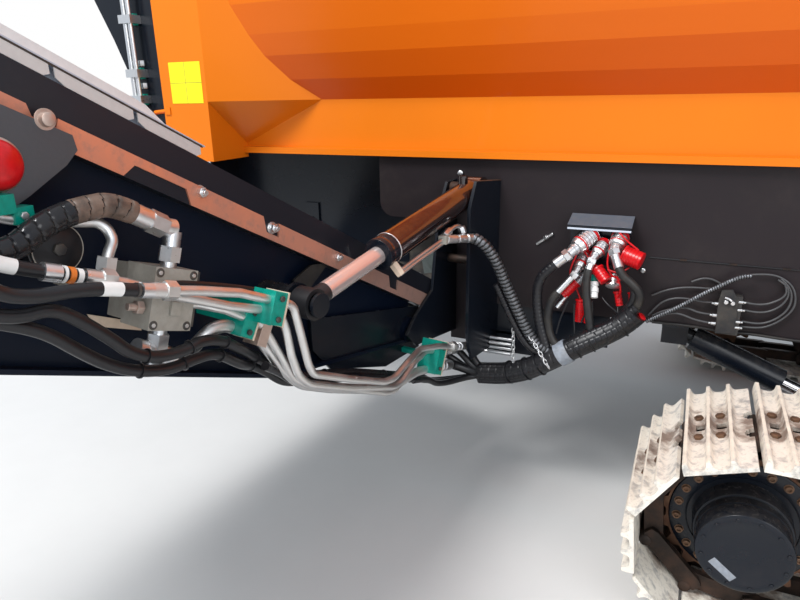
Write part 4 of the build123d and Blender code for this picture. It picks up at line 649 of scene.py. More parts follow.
# Start of a node's name and its finish, first match wins
NODE_FINISH = (
    ("track_loop", SHOE_STEEL), ("track_frame", BLACK), ("track_cross", BLACK),
    ("track_rollers", CHAIN_STEEL), ("idler_wheel", CHAIN_STEEL), ("drive_wheel", BLACK),
    ("chassis_side", SIDE_PAINT), ("hopper", ORANGE), ("feeder_belt", RUBBER), ("feeder", BARE_STEEL),
    ("conveyor_belt", RUBBER), ("conveyor_beam", BEAM_PAINT), ("conveyor_strips", STRIP_ORANGE_BOUNCE),
    ("conveyor_drums", CHAIN_STEEL), ("conveyor_idlers", CHAIN_STEEL), ("conveyor_skirt", PALE),
    ("conveyor_gusset", GUSSET_STEEL), ("ram_barrel", BARREL_PAINT), ("ram_rod", ROD_CHROME),
    ("valve_block", VALVE_METAL), ("valve_fittings", ZINC), ("hydraulic_pipes", PIPE_ZINC),
    ("front_pipes", ZINC), ("pipe_clamps", TEAL), ("quick_couplers", ZINC), ("dust_caps", RED),
    ("hose", HOSE), ("coupler_hoses", HOSE), ("coupler_box", BLACK), ("grease_block", BLOCK_CAST),
    ("under_frame", SHADED_UNDER_BLACK), ("red_dome", RED), ("tilt_cylinder_rod", CHROME), ("", BLACK),
)


def finish_nodes():
    """Give every CAD node its finish."""
    for name, node in NODES.items():
        finish = next(m for start, m in NODE_FINISH if name.startswith(start))
        node.data.materials.clear()
        node.data.materials.append(finish)


def add_floor():
    """Pale ground under the tracks."""
    mesh = bpy.data.meshes.new("floor")
    corners = [(x * FLOOR_HALF, y * FLOOR_HALF, 0) for x, y in ((-1, -1), (1, -1), (1, 1), (-1, 1))]
    mesh.from_pydata(corners, [], [(0, 1, 2, 3)])
    floor = bpy.data.objects.new("floor", mesh)
    floor.data.materials.append(FLOOR)
    bpy.context.collection.objects.link(floor)
    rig.stage(floor)


# Forms

def smooth(points, order=4):
    """Points along the NURBS line of a route, as Blender draws it."""
    data = bpy.data.curves.new("route", "CURVE")
    data.dimensions = "3D"
    spline = data.splines.new("NURBS")
    spline.points.add(len(points) - 1)
    for point, place in zip(spline.points, points):
        point.co = (*place, 1)
    spline.order_u = min(order, len(points))
    spline.use_endpoint_u = True
    spline.resolution_u = 12
    carrier = bpy.data.objects.new("route", data)
    mesh = bpy.data.meshes.new_from_object(carrier)
    line = [vertex.co.copy() for vertex in mesh.vertices]
    bpy.data.meshes.remove(mesh)
    bpy.data.objects.remove(carrier)
    return line


def spaced(line, step):
    """The same line with its points an even step apart."""
    out, left = [line[0]], step
    for a, b in zip(line, line[1:]):
        length = (b - a).length
        at = left
        while at < length:
            out.append(a.lerp(b, at / length))
            at += step
        left = at - length
    out.append(line[-1])
    return out


def path(points, step, place=mach, order=3):
    """Evenly spaced points along the smooth line of a route, step in mm."""
    return spaced(smooth([place(*p) for p in points], order), step / 1000)


def along(points, start, end=math.inf):
    """The stretch of a line between two distances from its start in mm."""
    out, run = [], 0.0
    for k, place in enumerate(points):
        if k:
            run += (place - points[k - 1]).length * 1000
        if start <= run <= end:
            out.append(place)
    return out


class Piece:
    """One mesh of turned, swept and plate forms that rides on a body."""

    def __init__(self, name, body, edge=0.0):
        self.name, self.body, self.edge = name, body, edge
        self.verts, self.faces, self.slots, self.materials = [], [], [], []

    def index(self, material):
        """Number of a material in this piece."""
        if material not in self.materials:
            self.materials.append(material)
        return self.materials.index(material)

    def add(self, verts, faces, material):
        """Add faces of one material."""
        base = len(self.verts)
        self.verts += [tuple(v) for v in verts]
        self.faces += [[base + i for i in face] for face in faces]
        self.slots += [self.index(material)] * len(faces)

    def rings(self, rings, material, closed=False):
        """Skin between rings of equal length."""
        count = len(rings[0])
        faces = []
        for k in range(len(rings) - (0 if closed else 1)):
            a, b = k * count, (k + 1) % len(rings) * count
            for i in range(count):
                j = (i + 1) % count
                faces.append((a + i, a + j, b + j, b + i))
        if not closed:
            faces.append(tuple(reversed(range(count))))
            last = (len(rings) - 1) * count
            faces.append(tuple(range(last, last + count)))
        self.add([v for ring in rings for v in ring], faces, material)

    def turned(self, start, end, profile, material, sides=24, spin=0.0):
        """Lathe a profile of distance along and radius, both in mm."""
        axis = (Vector(end) - Vector(start)).normalized()
        side = axis.orthogonal().normalized()
        other = axis.cross(side)
        turns = [spin + 2 * math.pi * i / sides for i in range(sides)]
        spokes = [side * math.cos(a) + other * math.sin(a) for a in turns]
        rings = [[Vector(start) + axis * t / 1000 + spoke * r / 1000 for spoke in spokes] for t, r in profile]
        self.rings(rings, material)

    def rod(self, start, end, r, material, sides=20):
        """A round bar with its ends chamfered, radius in mm."""
        length = (Vector(end) - Vector(start)).length * 1000
        c = min(1.0, r / 3, length / 3)
        self.turned(start, end, [(0, r - c), (c, r), (length - c, r), (length, r - c)], material, sides)

    def nut(self, start, end, flats, material, spin=0.3):
        """A hexagon nut with its corners taken off."""
        length = (Vector(end) - Vector(start)).length * 1000
        r = flats / math.sqrt(3)
        self.turned(start, end, [(0, r * 0.9), (length * 0.1, r), (length * 0.9, r), (length, r * 0.9)],
                    material, 6, spin)

    def tube(self, line, r, material, sides=14, groove=None, gap=None):
        """A hose along a line.

        The groove of its spiral wrap has a pitch, width and depth in mm, and gap as its finish.
        """
        rings, grooved = [], []
        side = None
        run = 0.0
        for k, place in enumerate(line):
            ahead = (line[min(k + 1, len(line) - 1)] - line[max(k - 1, 0)]).normalized()
            if side is None:
                side = ahead.orthogonal().normalized()
            side = (side - ahead * side.dot(ahead)).normalized()
            other = ahead.cross(side)
            if k:
                run += (place - line[k - 1]).length * 1000
            ring = []
            for share in (i / sides for i in range(sides)):
                radius, deep = r, False
                if groove:
                    pitch, width, depth = groove
                    phase = (run / pitch + share) % 1.0 * pitch
                    deep = phase < width
                    if deep:
                        radius = r - depth
                    elif phase < width * 1.8:
                        radius = r + depth * 0.15
                a = 2 * math.pi * share
                ring.append(place + (side * math.cos(a) + other * math.sin(a)) * radius / 1000)
                grooved.append(deep)
            rings.append(ring)
        since = len(self.faces)
        self.rings(rings, material)
        if gap:
            for k, deep in enumerate(grooved[:-sides]):
                if deep:
                    self.slots[since + k] = self.index(gap)

    def plate(self, outline, place, t0, t1, material):
        """A plate from an outline of (a, b); place turns (a, b, t) into a point."""
        front = [place(a, b, t0) for a, b in outline]
        back = [place(a, b, t1) for a, b in outline]
        self.rings([front, back], material)

    def box(self, centre, half, material, axes=None):
        """A box about a centre, half sizes in mm."""
        ax = axes or (Vector((1, 0, 0)), Vector((0, 1, 0)), Vector((0, 0, 1)))
        h = [v / 1000 for v in half]
        corners = ((-1, -1), (1, -1), (1, 1), (-1, 1))
        rings = [[Vector(centre) + ax[0] * a * h[0] + ax[1] * b * h[1] + ax[2] * c * h[2] for a, b in corners]
                 for c in (-1, 1)]
        self.rings(rings, material)

    def build(self, replaces=(), slot=None, angle=38, blend=None):
        """Make the object, and let it stand for the named nodes or bend it between two bodies."""
        mesh = bpy.data.meshes.new(self.name)
        mesh.from_pydata(self.verts, [], self.faces)
        for material in self.materials:
            mesh.materials.append(material)
        for face, index in zip(mesh.polygons, self.slots):
            face.material_index = index
            face.use_smooth = True
        mesh.set_sharp_from_angle(angle=math.radians(angle))
        mesh.validate()
        piece = bpy.data.objects.new(self.name, mesh)
        bpy.context.collection.objects.link(piece)
        if self.edge:
            bevel = piece.modifiers.new("edges", "BEVEL")
            bevel.width = self.edge / 1000
            bevel.segments = 2
            bevel.limit_method = "ANGLE"
            bevel.angle_limit = math.radians(40)
        if blend:
            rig.blend(piece, *blend)
        else:
            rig.ride(piece, self.body)
        if replaces:
            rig.replaces(piece, *replaces)
        if slot:
            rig.slot(piece, slot)
        return piece


# Crawler tracks

def chain_pin(s):
    """X and Z in mm of a chain pin at run s along the loop; its lower half is the upper one turned round."""
    straight = 2 * WHEEL_X
    half, s = divmod(s, straight + math.pi * PIN_RADIUS)
    if s < straight:
        x, z = s - WHEEL_X, PIN_RADIUS
    else:
        a = math.pi / 2 - (s - straight) / PIN_RADIUS
        x, z = WHEEL_X + PIN_RADIUS * math.cos(a), PIN_RADIUS * math.sin(a)
    way = -1 if half % 2 else 1
    return Vector((way * x, AXLE_Z + way * z))


def grouser(centre):
    """Run and height of one grouser's outline above the plate, with its hollow flanks."""
    flank = ((-24, 0), (-15, 2), (-10.5, 6.5), (-8, 13), (-6.5, GROUSER - 4), (-5, GROUSER - 0.7))
    flank += tuple((-a, b) for a, b in reversed(flank))
    return [(centre + a, b) for a, b in flank]


def shoe_section(start, end, spots):
    """Closed outline of a shoe from its run start to end, with grousers at the spots."""
    outline = [(start, PLATE), (start, 0)]
    for spot in spots:
        outline += [p for p in grouser(spot) if start < p[0] < end]
    return outline + [(end, 0), (end, PLATE)]


def add_track(name, y, rng):
    """Shoes with grousers, bolts and chain links round the loop."""
    track = Piece(f"track_{name}", "chassis")
    half = SHOE_PITCH / 2 - SHOE_GAP / 2
    spots = [-half + 9 + k * SHOE_PITCH / 3.15 for k in range(3)]
    whole = shoe_section(-half, half, spots)
    for i in range(SHOE_COUNT):
        a, b = chain_pin(i * SHOE_PITCH), chain_pin((i + 1) * SHOE_PITCH)
        along_run = (b - a).normalized()
        out = Vector((-along_run.y, along_run.x))
        mid = (a + b) / 2 + out * SHOE_OUT

        def place(run, height, across, mid=mid, ahead=along_run, out=out):
            """Place on this shoe."""
            p = mid + ahead * run + out * height
            return mach(p.x, y + across, p.y)

        for side in (-1, 1):
            def band(outline, near, far, finish=SHOE_STEEL):
                track.plate(outline, place, *sorted((side * near, side * far)), finish)

            band(whole, NOTCH_AT + NOTCH_R, SHOE_HALF_WIDTH)
            band(whole, HOLE_HALF, NOTCH_AT - NOTCH_R)
            for k in range(NOTCH_STEPS):
                near, far = -1 + 2 * k / NOTCH_STEPS, -1 + 2 * (k + 1) / NOTCH_STEPS
                depth = NOTCH_R * math.sqrt(1 - ((near + far) / 2) ** 2)
                short = shoe_section(-half, half - depth, spots)
                band(short, NOTCH_AT + near * NOTCH_R, NOTCH_AT + far * NOTCH_R)
            shift = 8 if i % 2 else -8
            band([(r, h - SHOE_OUT) for r, h in LINK], 50 + shift, 74 + shift, CHAIN_STEEL)
        cuts = [-half, spots[0] + 21, spots[1] - 13, spots[1] + 18, spots[2] - 13, half]
        for lo, hi in zip(cuts[::2], cuts[1::2]):
            inner = [p for p in spots if lo < p < hi]
            track.plate(shoe_section(lo, hi, inner), place, -HOLE_HALF, HOLE_HALF, SHOE_STEEL)
        for spot in spots:
            ends = [rng.uniform(SHOE_HALF_WIDTH - 10, SHOE_HALF_WIDTH - 0.5) for _ in range(2)]
            crown = [(spot - 4.6, 24.2), (spot - 3.8, 25), (spot + 3.8, 25), (spot + 4.6, 24.2)]
            track.plate(crown, place, -ends[0], ends[1], TIP_STEEL)
        for run in (spots[0] + 30, spots[1] + 30):
            for side in (-1, 1):
                head = (place(run, height, side * SHOE_BOLT_Y) for height in (-0.5, 9))
                track.nut(*head, 24, BOLT_STEEL, spin=rng.uniform(0, 1))
        pin = (mach(a.x, y + side * CHAIN_PIN_HALF, a.y) for side in (-1, 1))
        track.rod(*pin, CHAIN_PIN_R, CHAIN_STEEL, 12)
    track.build([f"track_loop_{name}"], "track_steel", angle=50)


def ring_of(count, r, phase):
    """X and Z of places evenly round the drive wheel's axis."""
    turns = [2 * math.pi * (k + phase) / count for k in range(count)]
    return [(-WHEEL_X + r * math.cos(a), AXLE_Z + r * math.sin(a)) for a in turns]


def add_drive_wheel(name, y, out):
    """Toothed wheel with its bolted flange and final drive."""
    wheel = Piece(f"drive_{name}", "chassis", edge=1.2)
    inside = PIN_RADIUS * math.cos(SHOE_PITCH / 2 / PIN_RADIUS) + LINK_FOOT
    root, tip = inside - 6, inside + 24
    # Share of a tooth's pitch and radius
    tooth = ((0.0, root), (0.2, tip - 5), (0.26, tip), (0.38, tip), (0.44, tip - 5), (0.64, root))
    rings = [ring_of(WHEEL_TEETH, r, part) for part, r in tooth]
    outline = [place for corners in zip(*rings) for place in corners]
    wheel.plate(outline, on_side, y - WHEEL_HALF, y + WHEEL_HALF, RUSTY_STEEL)

    def at(t, x=-WHEEL_X, z=AXLE_Z):
        """Place at a distance out from the wheel's face."""
        return mach(x, y + out * (WHEEL_HALF + t), z)

    flange = [(0.2, 204), (3, 203), (5, 200), (6, 158), (4, 152), (-26, 147), (-30, 143), (-30, 100)]
    wheel.turned(at(0), at(1), flange, BLACK, 64)
    hub = [(-30, 136), (58, 136), (63, 133), (64, 128), (94, 128), (95, 124), (101, 124), (102, 128),
           (149, 128), (155, 126), (158, 121), (158, 100), (157, 98), (157, 1)]
    wheel.turned(at(0), at(1), hub, BLACK, 64)
    wheel.turned(at(-80), at(-158), [(0, 128), (78, 128)], BLACK, 48)
    bolt = [(0, 14), (1, 14), (1.5, 11), (9, 11), (10, 10), (10, 6), (5, 5.5), (5, 0.5)]
    for x, z in ring_of(FLANGE_BOLTS, 180, 0.4):
        wheel.turned(at(5, x, z), at(15, x, z), bolt, BOLT_STEEL, 12)
    for x, z in ring_of(CAP_BOLTS, 111, 0.5):
        wheel.turned(at(158, x, z), at(162, x, z), [(0, 6.5), (3, 6.5), (4, 5.5), (4, 0.5)], BLACK, 12)
    slope = Vector((0.78, 0, -0.62)), Vector((0.62, 0, 0.78)), Vector((0, 1, 0))
    wheel.box(at(157.8, -WHEEL_X - 47.5, AXLE_Z - 64.9), (40, 12, 0.6), LABEL_GREY, slope)
    wheel.build([f"drive_wheel_{name}"], "black_steel")


# Side conveyor: hoses, valve and pipes, as out, across and height in the conveyor's frame

# Valve block: its middle out and height, and its tilt in degrees
VALVE_AT = (1290.5, 1176.5)
VALVE_TILT = 18
BIG_HOSE = (
    (1430, 90, 1394), (1478, 90, 1388), (1525, 90, 1372), (1570, 90, 1344), (1640, 95, 1342),
    (1700, 100, 1410), (1755, 100, 1500), (1800, 100, 1500),
)
HOSE_ONE = (
    (1486, 150, 1281), (1534, 150, 1299), (1586, 150, 1319), (1650, 150, 1350), (1710, 152, 1430),
    (1755, 155, 1480), (1800, 155, 1480),
)
HOSE_TWO = (
    (1379, 182, 1232), (1421, 182, 1244), (1478, 182, 1262), (1532, 182, 1272), (1600, 182, 1278),
    (1655, 182, 1300), (1712, 182, 1380), (1755, 182, 1435), (1800, 182, 1435),
)
UPPER_RUN = (
    (300, 62, 592), (457, 62, 660), (662, 62, 750), (859, 62, 812), (920, 64, 832), (962, 66, 872),
    (1008, 70, 915), (1068, 84, 962), (1130, 120, 1008), (1197, 142, 1058), (1257, 150, 1078),
    (1313, 152, 1070), (1380, 152, 1081), (1429, 152, 1112), (1457, 152, 1147), (1511, 152, 1204),
    (1558, 152, 1242), (1613, 150, 1240), (1665, 146, 1262), (1715, 142, 1360), (1755, 140, 1420),
    (1800, 140, 1420),
)
LOWER_RUN = (
    (300, 32, 576), (440, 32, 636), (627, 32, 720), (830, 32, 778), (893, 32, 798), (931, 34, 822),
    (978, 36, 868), (1036, 46, 910), (1114, 104, 954), (1198, 122, 1022), (1261, 130, 1032),
    (1333, 132, 1032), (1402, 132, 1054), (1462, 130, 1090), (1514, 130, 1139), (1561, 128, 1190),
    (1609, 122, 1220), (1665, 110, 1245), (1715, 100, 1350), (1755, 95, 1418), (1800, 95, 1418),
)
THIRD_RUN = (
    (300, 92, 584), (450, 92, 648), (645, 90, 735), (845, 90, 794), (905, 92, 814), (946, 96, 845),
    (990, 100, 888), (1050, 118, 930),
)
THIN_LINE = (
    (1300, 112, 1218), (1262, 120, 1207), (1179, 120, 1181), (1092, 124, 1151), (1040, 128, 1129),
    (1000, 128, 1104),
)
# Bands on two hoses: from and to along the hose, radius and finish
BANDS_ONE = ((0, 6, 16, ZINC), (6, 24, 14.2, WHITE), (24, 38, 15.5, LABEL_ORANGE), (38, 46, 16, WHITE),
             (46, 82, 17, ZINC), (82, 88, 15.2, ZINC), (120, 176, 13.7, WHITE))
BANDS_TWO = ((0, 30, 16, ZINC), (30, 38, 14.5, DARK_CAST), (62, 108, 13.7, WHITE),
             (108, 113, 13.9, LABEL_ORANGE))
# Ties round the long hoses: where each begins along the hose
TIES = (180, 500, 830, 1010, 1120, 1230)
# Plates on the conveyor's side: outline out and height, across from and to, finish
SIDE_PLATES = (
    (((1398, 1146), (1276, 1089), (1279, 1070), (1383, 1113)), -52, -40, CREAM),
    (((790, 1074), (715, 1102), (633, 1093), (777, 996)), -24, -16, DUSTY_HOSE),
    (((118, 629), (342, 626), (646, 731), (725, 826), (725, 930), (118, 800)), -30, -22, BLACK),
)
# Pipe clamps: middle, tilt in degrees, half sizes up the slope, across and square to both
CLAMPS = (((1068, 169, 1106), 22, (22, 38, 42)), ((1109, 117, 1074), 30, (22, 34, 40)),
          ((229, 110, 657), 24, (24, 42, 63)))


def valve(x, z, v=90):
    """Place of a point given in the valve's own tilted frame in mm."""
    turn = math.radians(VALVE_TILT)
    return conv(VALVE_AT[0] + x * math.cos(turn) - z * math.sin(turn), v,
                VALVE_AT[1] + x * math.sin(turn) + z * math.cos(turn))


def add_conveyor_hoses():
    """Hoses of the conveyor with their guards, labels and crimped ends."""
    hoses = Piece("conveyor_hoses", "conveyor")
    head = [valve(105, 170), valve(151.8, 180.8)]
    line = spaced(smooth(head + [conv(*p) for p in BIG_HOSE], 3), 0.003)
    wrap = (27, 3, 2.4)
    hoses.tube(along(line, 0, 130), 24, DUSTY_GUARD, 28, wrap, GAP)
    hoses.tube(along(line, 127), 24, GUARD, 28, wrap, GAP)
    for route, bands in ((HOSE_ONE, BANDS_ONE), (HOSE_TWO, BANDS_TWO)):
        line = path(route, 5, conv)
        hoses.tube(line, 13, HOSE, 20)
        for start, end, r, finish in bands:
            hoses.tube(along(line, start, end), r, finish, 20)
    wrap = (24, 2.2, 1.6)
    for route, guard in ((UPPER_RUN, 620), (LOWER_RUN, 560)):
        line = path(route, 4, conv)
        hoses.tube(along(line, 0, guard), 14, GUARD, 20, wrap)
        hoses.tube(along(line, guard - 2), 12.8, HOSE, 18)
        for start in TIES:
            hoses.tube(along(line, start, start + 9), 16.3, HOSE, 20)
    hoses.tube(path(THIRD_RUN, 4, conv), 12, GUARD, 18, wrap)
    hoses.build(["hoses_conveyor"], "rubber_hose")


def add_thin_line():
    """Thin black hose above the pipes, and plates on the conveyor's side."""
    thin = Piece("thin_line", "conveyor")
    thin.tube(path(THIN_LINE, 6, conv), 7, HOSE, 12)
    for outline, v0, v1, finish in SIDE_PLATES:
        thin.plate(outline, on_beam, v0, v1, finish)
    thin.build()


def add_valve_details():
    """Bolts, plugs and side modules of the valve, and the dark sleeve of the round actuator."""
    parts = Piece("valve_details", "conveyor", edge=0.8)
    washer = [(0, 10), (1, 10), (1.2, 7.5), (2, 7.5), (2, 0.5)]
    for x, z in ((-42, 56), (42, 56), (-42, -56), (42, -56)):
        ends = valve(x, z, 119.5), valve(x, z, 130)
        parts.turned(*ends, washer, DARK_CAST, 20)
        parts.turned(*ends, [(0, 5), (3, 5), (3, 0.5)], ZINC, 6)
    # Plugs and side modules: place in the valve's frame, half sizes and finish
    for x, z, v, half, finish in (
            (-4, -18, 122, (12, 5, 15), VALVE_METAL), (40, 30, 122, (6, 5, 9), VALVE_METAL),
            (-60, 42, 72, (7, 38, 22), DARK_CAST), (-60, -36, 72, (7, 38, 24), DARK_CAST)):
        parts.box(valve(x, z, v), half, finish, slope_axes(VALVE_TILT))
    parts.nut(valve(58, -22, 96), valve(74, -22, 96), 26, BARE_STEEL)
    parts.rod(valve(72, -22, 96), valve(92, -22, 96), 8, BARE_STEEL)
    s, z = ACTUATOR_AT
    sleeve = [(0, 47), (3, 51.5), (60, 51.5), (62, 53), (70, 53), (72, 51), (80, 50), (83, 44), (83.5, 0.5)]
    parts.turned(conv(s, -45, z), conv(s, 37, z), sleeve, HOSE, 48)
    parts.nut(conv(s, 38, z), conv(s, 46, z), 22, DARK_CAST)
    parts.build()


def add_clamp_details():
    """Cover plates, cream end plates and bolts of the pipe clamps, and a steel block below."""
    parts = Piece("clamp_details", "conveyor", edge=0.8)
    for place, tilt, half in CLAMPS:
        middle = conv(*place)
        axes = slope_axes(tilt)
        a, b, c = (axis * size / 1000 for axis, size in zip(axes, half))
        for side in (-1, 1):
            cover = middle + axes[0] * side * (half[0] - 2) / 1000
            parts.box(cover, (2, half[1] - 1, half[2] - 1), TEAL, axes)
            head = middle + b + c * side * 0.6
            parts.nut(head, head + axes[1] * 0.007, 13, DARK_CAST)
        parts.box(middle - a, (2.5, half[1] + 1, half[2] + 1), CREAM, axes)
    parts.box(conv(1062, 122, 1038), (16, 26, 42), BARE_STEEL, slope_axes(30))
    parts.build()


def add_ram_details():
    """Wrapped hose to the ram, its steel ends, and the thin pipes under the barrel."""
    hose = Piece("ram_hose", None)
    hose.tube(path(RAM_HOSE, 2.5, order=4), 20, WRAP, 22, (15, 5.5, 1.8), GAP)
    second = [(x - 34, y + 6, z - 14) for x, y, z in RAM_HOSE[4:]]
    hose.tube(path(second, 2.5, order=4), 13, GUARD, 18, (13, 2.0, 1.4))
    hose.build(blend=("chassis", "ram_barrel", mach(*RAM_HOSE[6]), mach(*RAM_HOSE[0])), slot="rubber_hose")

    ends = Piece("ram_fittings", "ram_barrel", edge=0.6)
    block = mach(-2315, -1038, 1112)
    ahead = (mach(*RAM_HOSE[0]) - block).normalized()
    for a, b, r in ((22, 60, 15), (60, 68, 12), (68, 108, 14.5), (108, 114, 12), (114, 150, 16)):
        ends.rod(block + ahead * a / 1000, block + ahead * b / 1000, r, ZINC)
    ends.nut(block + ahead * 0.010, block + ahead * 0.028, 30, ZINC)
    ends.box(block, (15, 15, 14), VALVE_METAL)
    ends.tube(path(RAM_ELBOW, 4), 8, ZINC, 14)
    for k in (0, 3):
        ends.nut(mach(*RAM_ELBOW[k]), mach(*RAM_ELBOW[k + 1]), 24, ZINC)
    for drop in (0, 13):
        ends.tube(path([(x, y, z - drop) for x, y, z in RAM_PIPE], 6), 6, PIPE_ZINC, 14)
    port = mach(-2363, -1300, 1060)
    up = (mach(-2413, -1304, 1124) - port).normalized()
    ends.nut(port - up * 0.012, port + up * 0.034, 27, CREAM)
    ends.build()


def add_pipe_ends():
    """Crimped hoses from the pipes' ends over the hinge into the wrapped bundle."""
    crimps = Piece("pipe_end_fittings", "conveyor", edge=0.6)
    hoses = Piece("hinge_hoses", None)
    for s, v, z, r in PIPE_ENDS:
        start = conv(s, v, z)
        ahead = (conv(s - 100, v - 6, z - 32) - start).normalized()
        for a, b, wider in CRIMP:
            crimps.rod(start + ahead * a / 1000, start + ahead * b / 1000, r + wider, ZINC)
        fan = (v - 118) / 4
        route = [start + ahead * t for t in (0.06, 0.1, 0.135)]
        route += [mach(-2262 + fan, -800, 524 + fan), mach(-2200 + fan, -808, 534 + fan * 0.7)]
        hoses.tube(spaced(smooth(route, 3), 0.005), r + 2.5, HOSE, 16)
    # The long hoses go on from their ends on the conveyor: across and height
    for v, z in ((62, 592), (32, 576), (92, 584)):
        route = [conv(330, v, z + 9), conv(300, v, z), conv(240, v + 4, z - 18), conv(170, v + 10, 512),
                 mach(-2290, -806, 502), mach(-2235, -806, 516), mach(-2190, -812, 534)]
        hoses.tube(spaced(smooth(route, 3), 0.005), 12, HOSE, 16)
    crimps.build(slot="zinc_steel")
    hoses.build(blend=("chassis", "conveyor", mach(-2240, -800, 520), conv(95, 110, 615)), slot="rubber_hose")


def strap(piece, points, finish, r=3.5):
    """A thin cord of plastic or wire through places in the machine's frame."""
    piece.tube(path(points, 5), r, finish, 10)


def dust_cap(piece, start, end, r, finish):
    """A plastic cap with a rim and grip ribs."""
    start, end = mach(*start), mach(*end)
    length = (end - start).length * 1000
    profile = [(0, r - 5), (0.5, r + 1), (6, r + 2), (7, r - 1)]
    count = max(2, int((length - 14) / 9))
    for k in range(count):
        t = 8 + k * (length - 12) / count
        profile += [(t, r - 1), (t + 3, r - 1), (t + 4, r - 2.4), (t + 5, r - 2.4)]
    profile += [(length - 2, r - 1), (length, r - 4), (length, 0.5)]
    piece.turned(start, end, profile, finish, 28)


def coupler(piece, r, root, end, tail):
    """A screw coupler of radius r: flange, ribbed collar, red ring, taper, nut and sleeve."""
    ahead = (end - root).normalized()
    length = (end - root).length * 1000
    piece.turned(root - ahead * 0.006, end, [(0, r + 3), (6, r + 3), (6, r - 2)], ZINC, 6)
    profile = [(6, r - 3)]
    for k in range(4):
        t = 8 + k * 0.1 * length
        profile += [(t, r - 2), (t + 1, r + 1), (t + 0.055 * length, r + 1), (t + 0.07 * length, r - 2)]
    piece.turned(root, end, profile + [(0.52 * length, r - 3)], ZINC, 32)
    # The rest: shares of the length and radii
    for finish, rows in (
            (RED, ((0.46, r - 1), (0.47, r + 1.4), (0.51, r + 1.4), (0.52, r - 1))),
            (ZINC, ((0.50, r), (0.54, r + 0.6), (0.66, r * 0.86), (0.69, r * 0.62), (1, r * 0.58))),
            (ZINC, ((0.72, r * 0.6), (0.73, r * 0.72), (0.80, r * 0.72), (0.81, r * 0.6)))):
        piece.turned(root, end, [(share * length, radius) for share, radius in rows], finish, 32)
    on = (tail - end).normalized()
    piece.nut(end - on * 0.006, end + on * 0.016, r * 1.3, ZINC)
    piece.rod(end + on * 0.014, tail, r * 0.58, ZINC)


def add_couplers():
    """Screw couplers on the coupler box, with red rings, caps on straps and small plugs."""
    parts = Piece("couplers", "chassis")
    caps = Piece("dust_caps_and_straps", "chassis")
    for r, root, bend, end, tail, *_ in COUPLERS:
        root, bend, end, tail = (mach(*p) for p in (root, bend, end, tail))
        coupler(parts, r, root, end, tail)
        caps.turned(root, bend, [(0, r - 4), (0, r + 2.5), (9, r + 2.5), (9, r - 4)], RED, 32)
    # Green and white plug, ribbed plug with its rod, and open collar
    plug = mach(-1848, -752, 962), mach(-1838, -792, 878)
    parts.turned(*plug, [(0, 11), (2, 14), (26, 14), (28, 11)], TEAL, 24)
    body = [(28, 14), (30, 18), (42, 18), (44, 15), (50, 15), (52, 18), (66, 18), (68, 13)]
    mouth = [(66, 12), (68, 16), (86, 16), (88, 13), (88, 6), (70, 5)]
    for profile in (body, mouth):
        parts.turned(*plug, profile, WHITE, 24)
    rod = mach(-1880, -742, 955), mach(-1967, -802, 832)
    ribs = [(0, 11)]
    for k in range(4):
        ribs += [(4 + 11 * k, 11), (5 + 11 * k, 15), (11 + 11 * k, 15), (12 + 11 * k, 11)]
    parts.turned(*rod, ribs + [(50, 8), (130, 8), (131, 11), (157, 11), (158, 8)], ZINC, 20)
    collar = mach(-1778, -742, 960), mach(-1777, -786, 902)
    parts.turned(*collar, [(0, 18), (2, 22), (8, 22), (10, 19), (16, 19), (18, 22), (26, 22), (28, 17),
                           (34, 17), (36, 26), (42, 26), (44, 20)], ZINC, 28)
    parts.turned(*collar, [(9, 20), (10, 23), (15, 23), (16, 20)], RED, 28)
    parts.build(["quick_couplers"], "zinc_steel")

    for start, end, r in DUST_CAPS:
        dust_cap(caps, start, end, r, RED)
    for points in STRAPS:
        strap(caps, points, RED)
    caps.build(["dust_caps"], "red_plastic")


def add_coupler_hoses():
    """Hoses from the couplers into the wrapped bundle, with wires, ties and a label band."""
    hoses = Piece("coupler_hose_set", "chassis")
    for _, _, _, _, tail, r, wrapped, route in COUPLERS:
        line = path((tail, *route), 3)
        if wrapped:
            hoses.tube(line, r, BUNDLE_GUARD, 22, (15, 2, 1.6))
        else:
            hoses.tube(line, r, DUSTY_HOSE, 22)
    hoses.tube(path(LOOSE_HOSE, 4), 13, HOSE, 18)
    line = path(BUNDLE, 3, order=4)
    hoses.tube(line, 40, HOSE, 32, (34, 2.4, 2.0))
    for lift, r in ((-26, 17), (0, 19), (26, 16)):
        lane = [(x, y - 24 + abs(lift) * 0.5, z + lift) for x, y, z in BUNDLE]
        hoses.tube(path(lane, 3, order=4), r, BUNDLE_GUARD, 20, (21, 3.0, 1.6), GAP)
    for start in (130, 205, 262, 415, 470, 590):
        hoses.tube(along(line, start, start + 6), 45.5, HOSE, 32)
    hoses.tube(along(line, 345, 392), 44.5, LABEL_GREY, 32)
    for points in WIRES:
        strap(hoses, points, HOSE, 3)
    hoses.build(["coupler_hoses"], "rubber_hose")


def add_chain(piece, start, end, pitch=17):
    """A hanging chain of oval links between two places."""
    a, b = mach(*start), mach(*end)
    ahead = (b - a).normalized()
    for k in range(int((b - a).length * 1000 / pitch)):
        mid = a + ahead * (k + 0.5) * pitch / 1000
        side = ahead.orthogonal().normalized()
        if k % 2:
            side = ahead.cross(side)
        turns = [math.pi * i / 6 for i in range(12)]
        oval = [mid + ahead * math.cos(t) * 0.012 + side * math.sin(t) * 0.006 for t in turns]
        sections = []
        for i, place in enumerate(oval):
            run = (oval[(i + 1) % 12] - oval[i - 1]).normalized()
            across = run.cross(ahead.cross(side)).normalized()
            other = run.cross(across)
            spokes = [across * math.cos(t) + other * math.sin(t) for t in turns[::2]]
            sections.append([place + spoke * 0.0022 for spoke in spokes])
        piece.rings(sections, ZINC, closed=True)


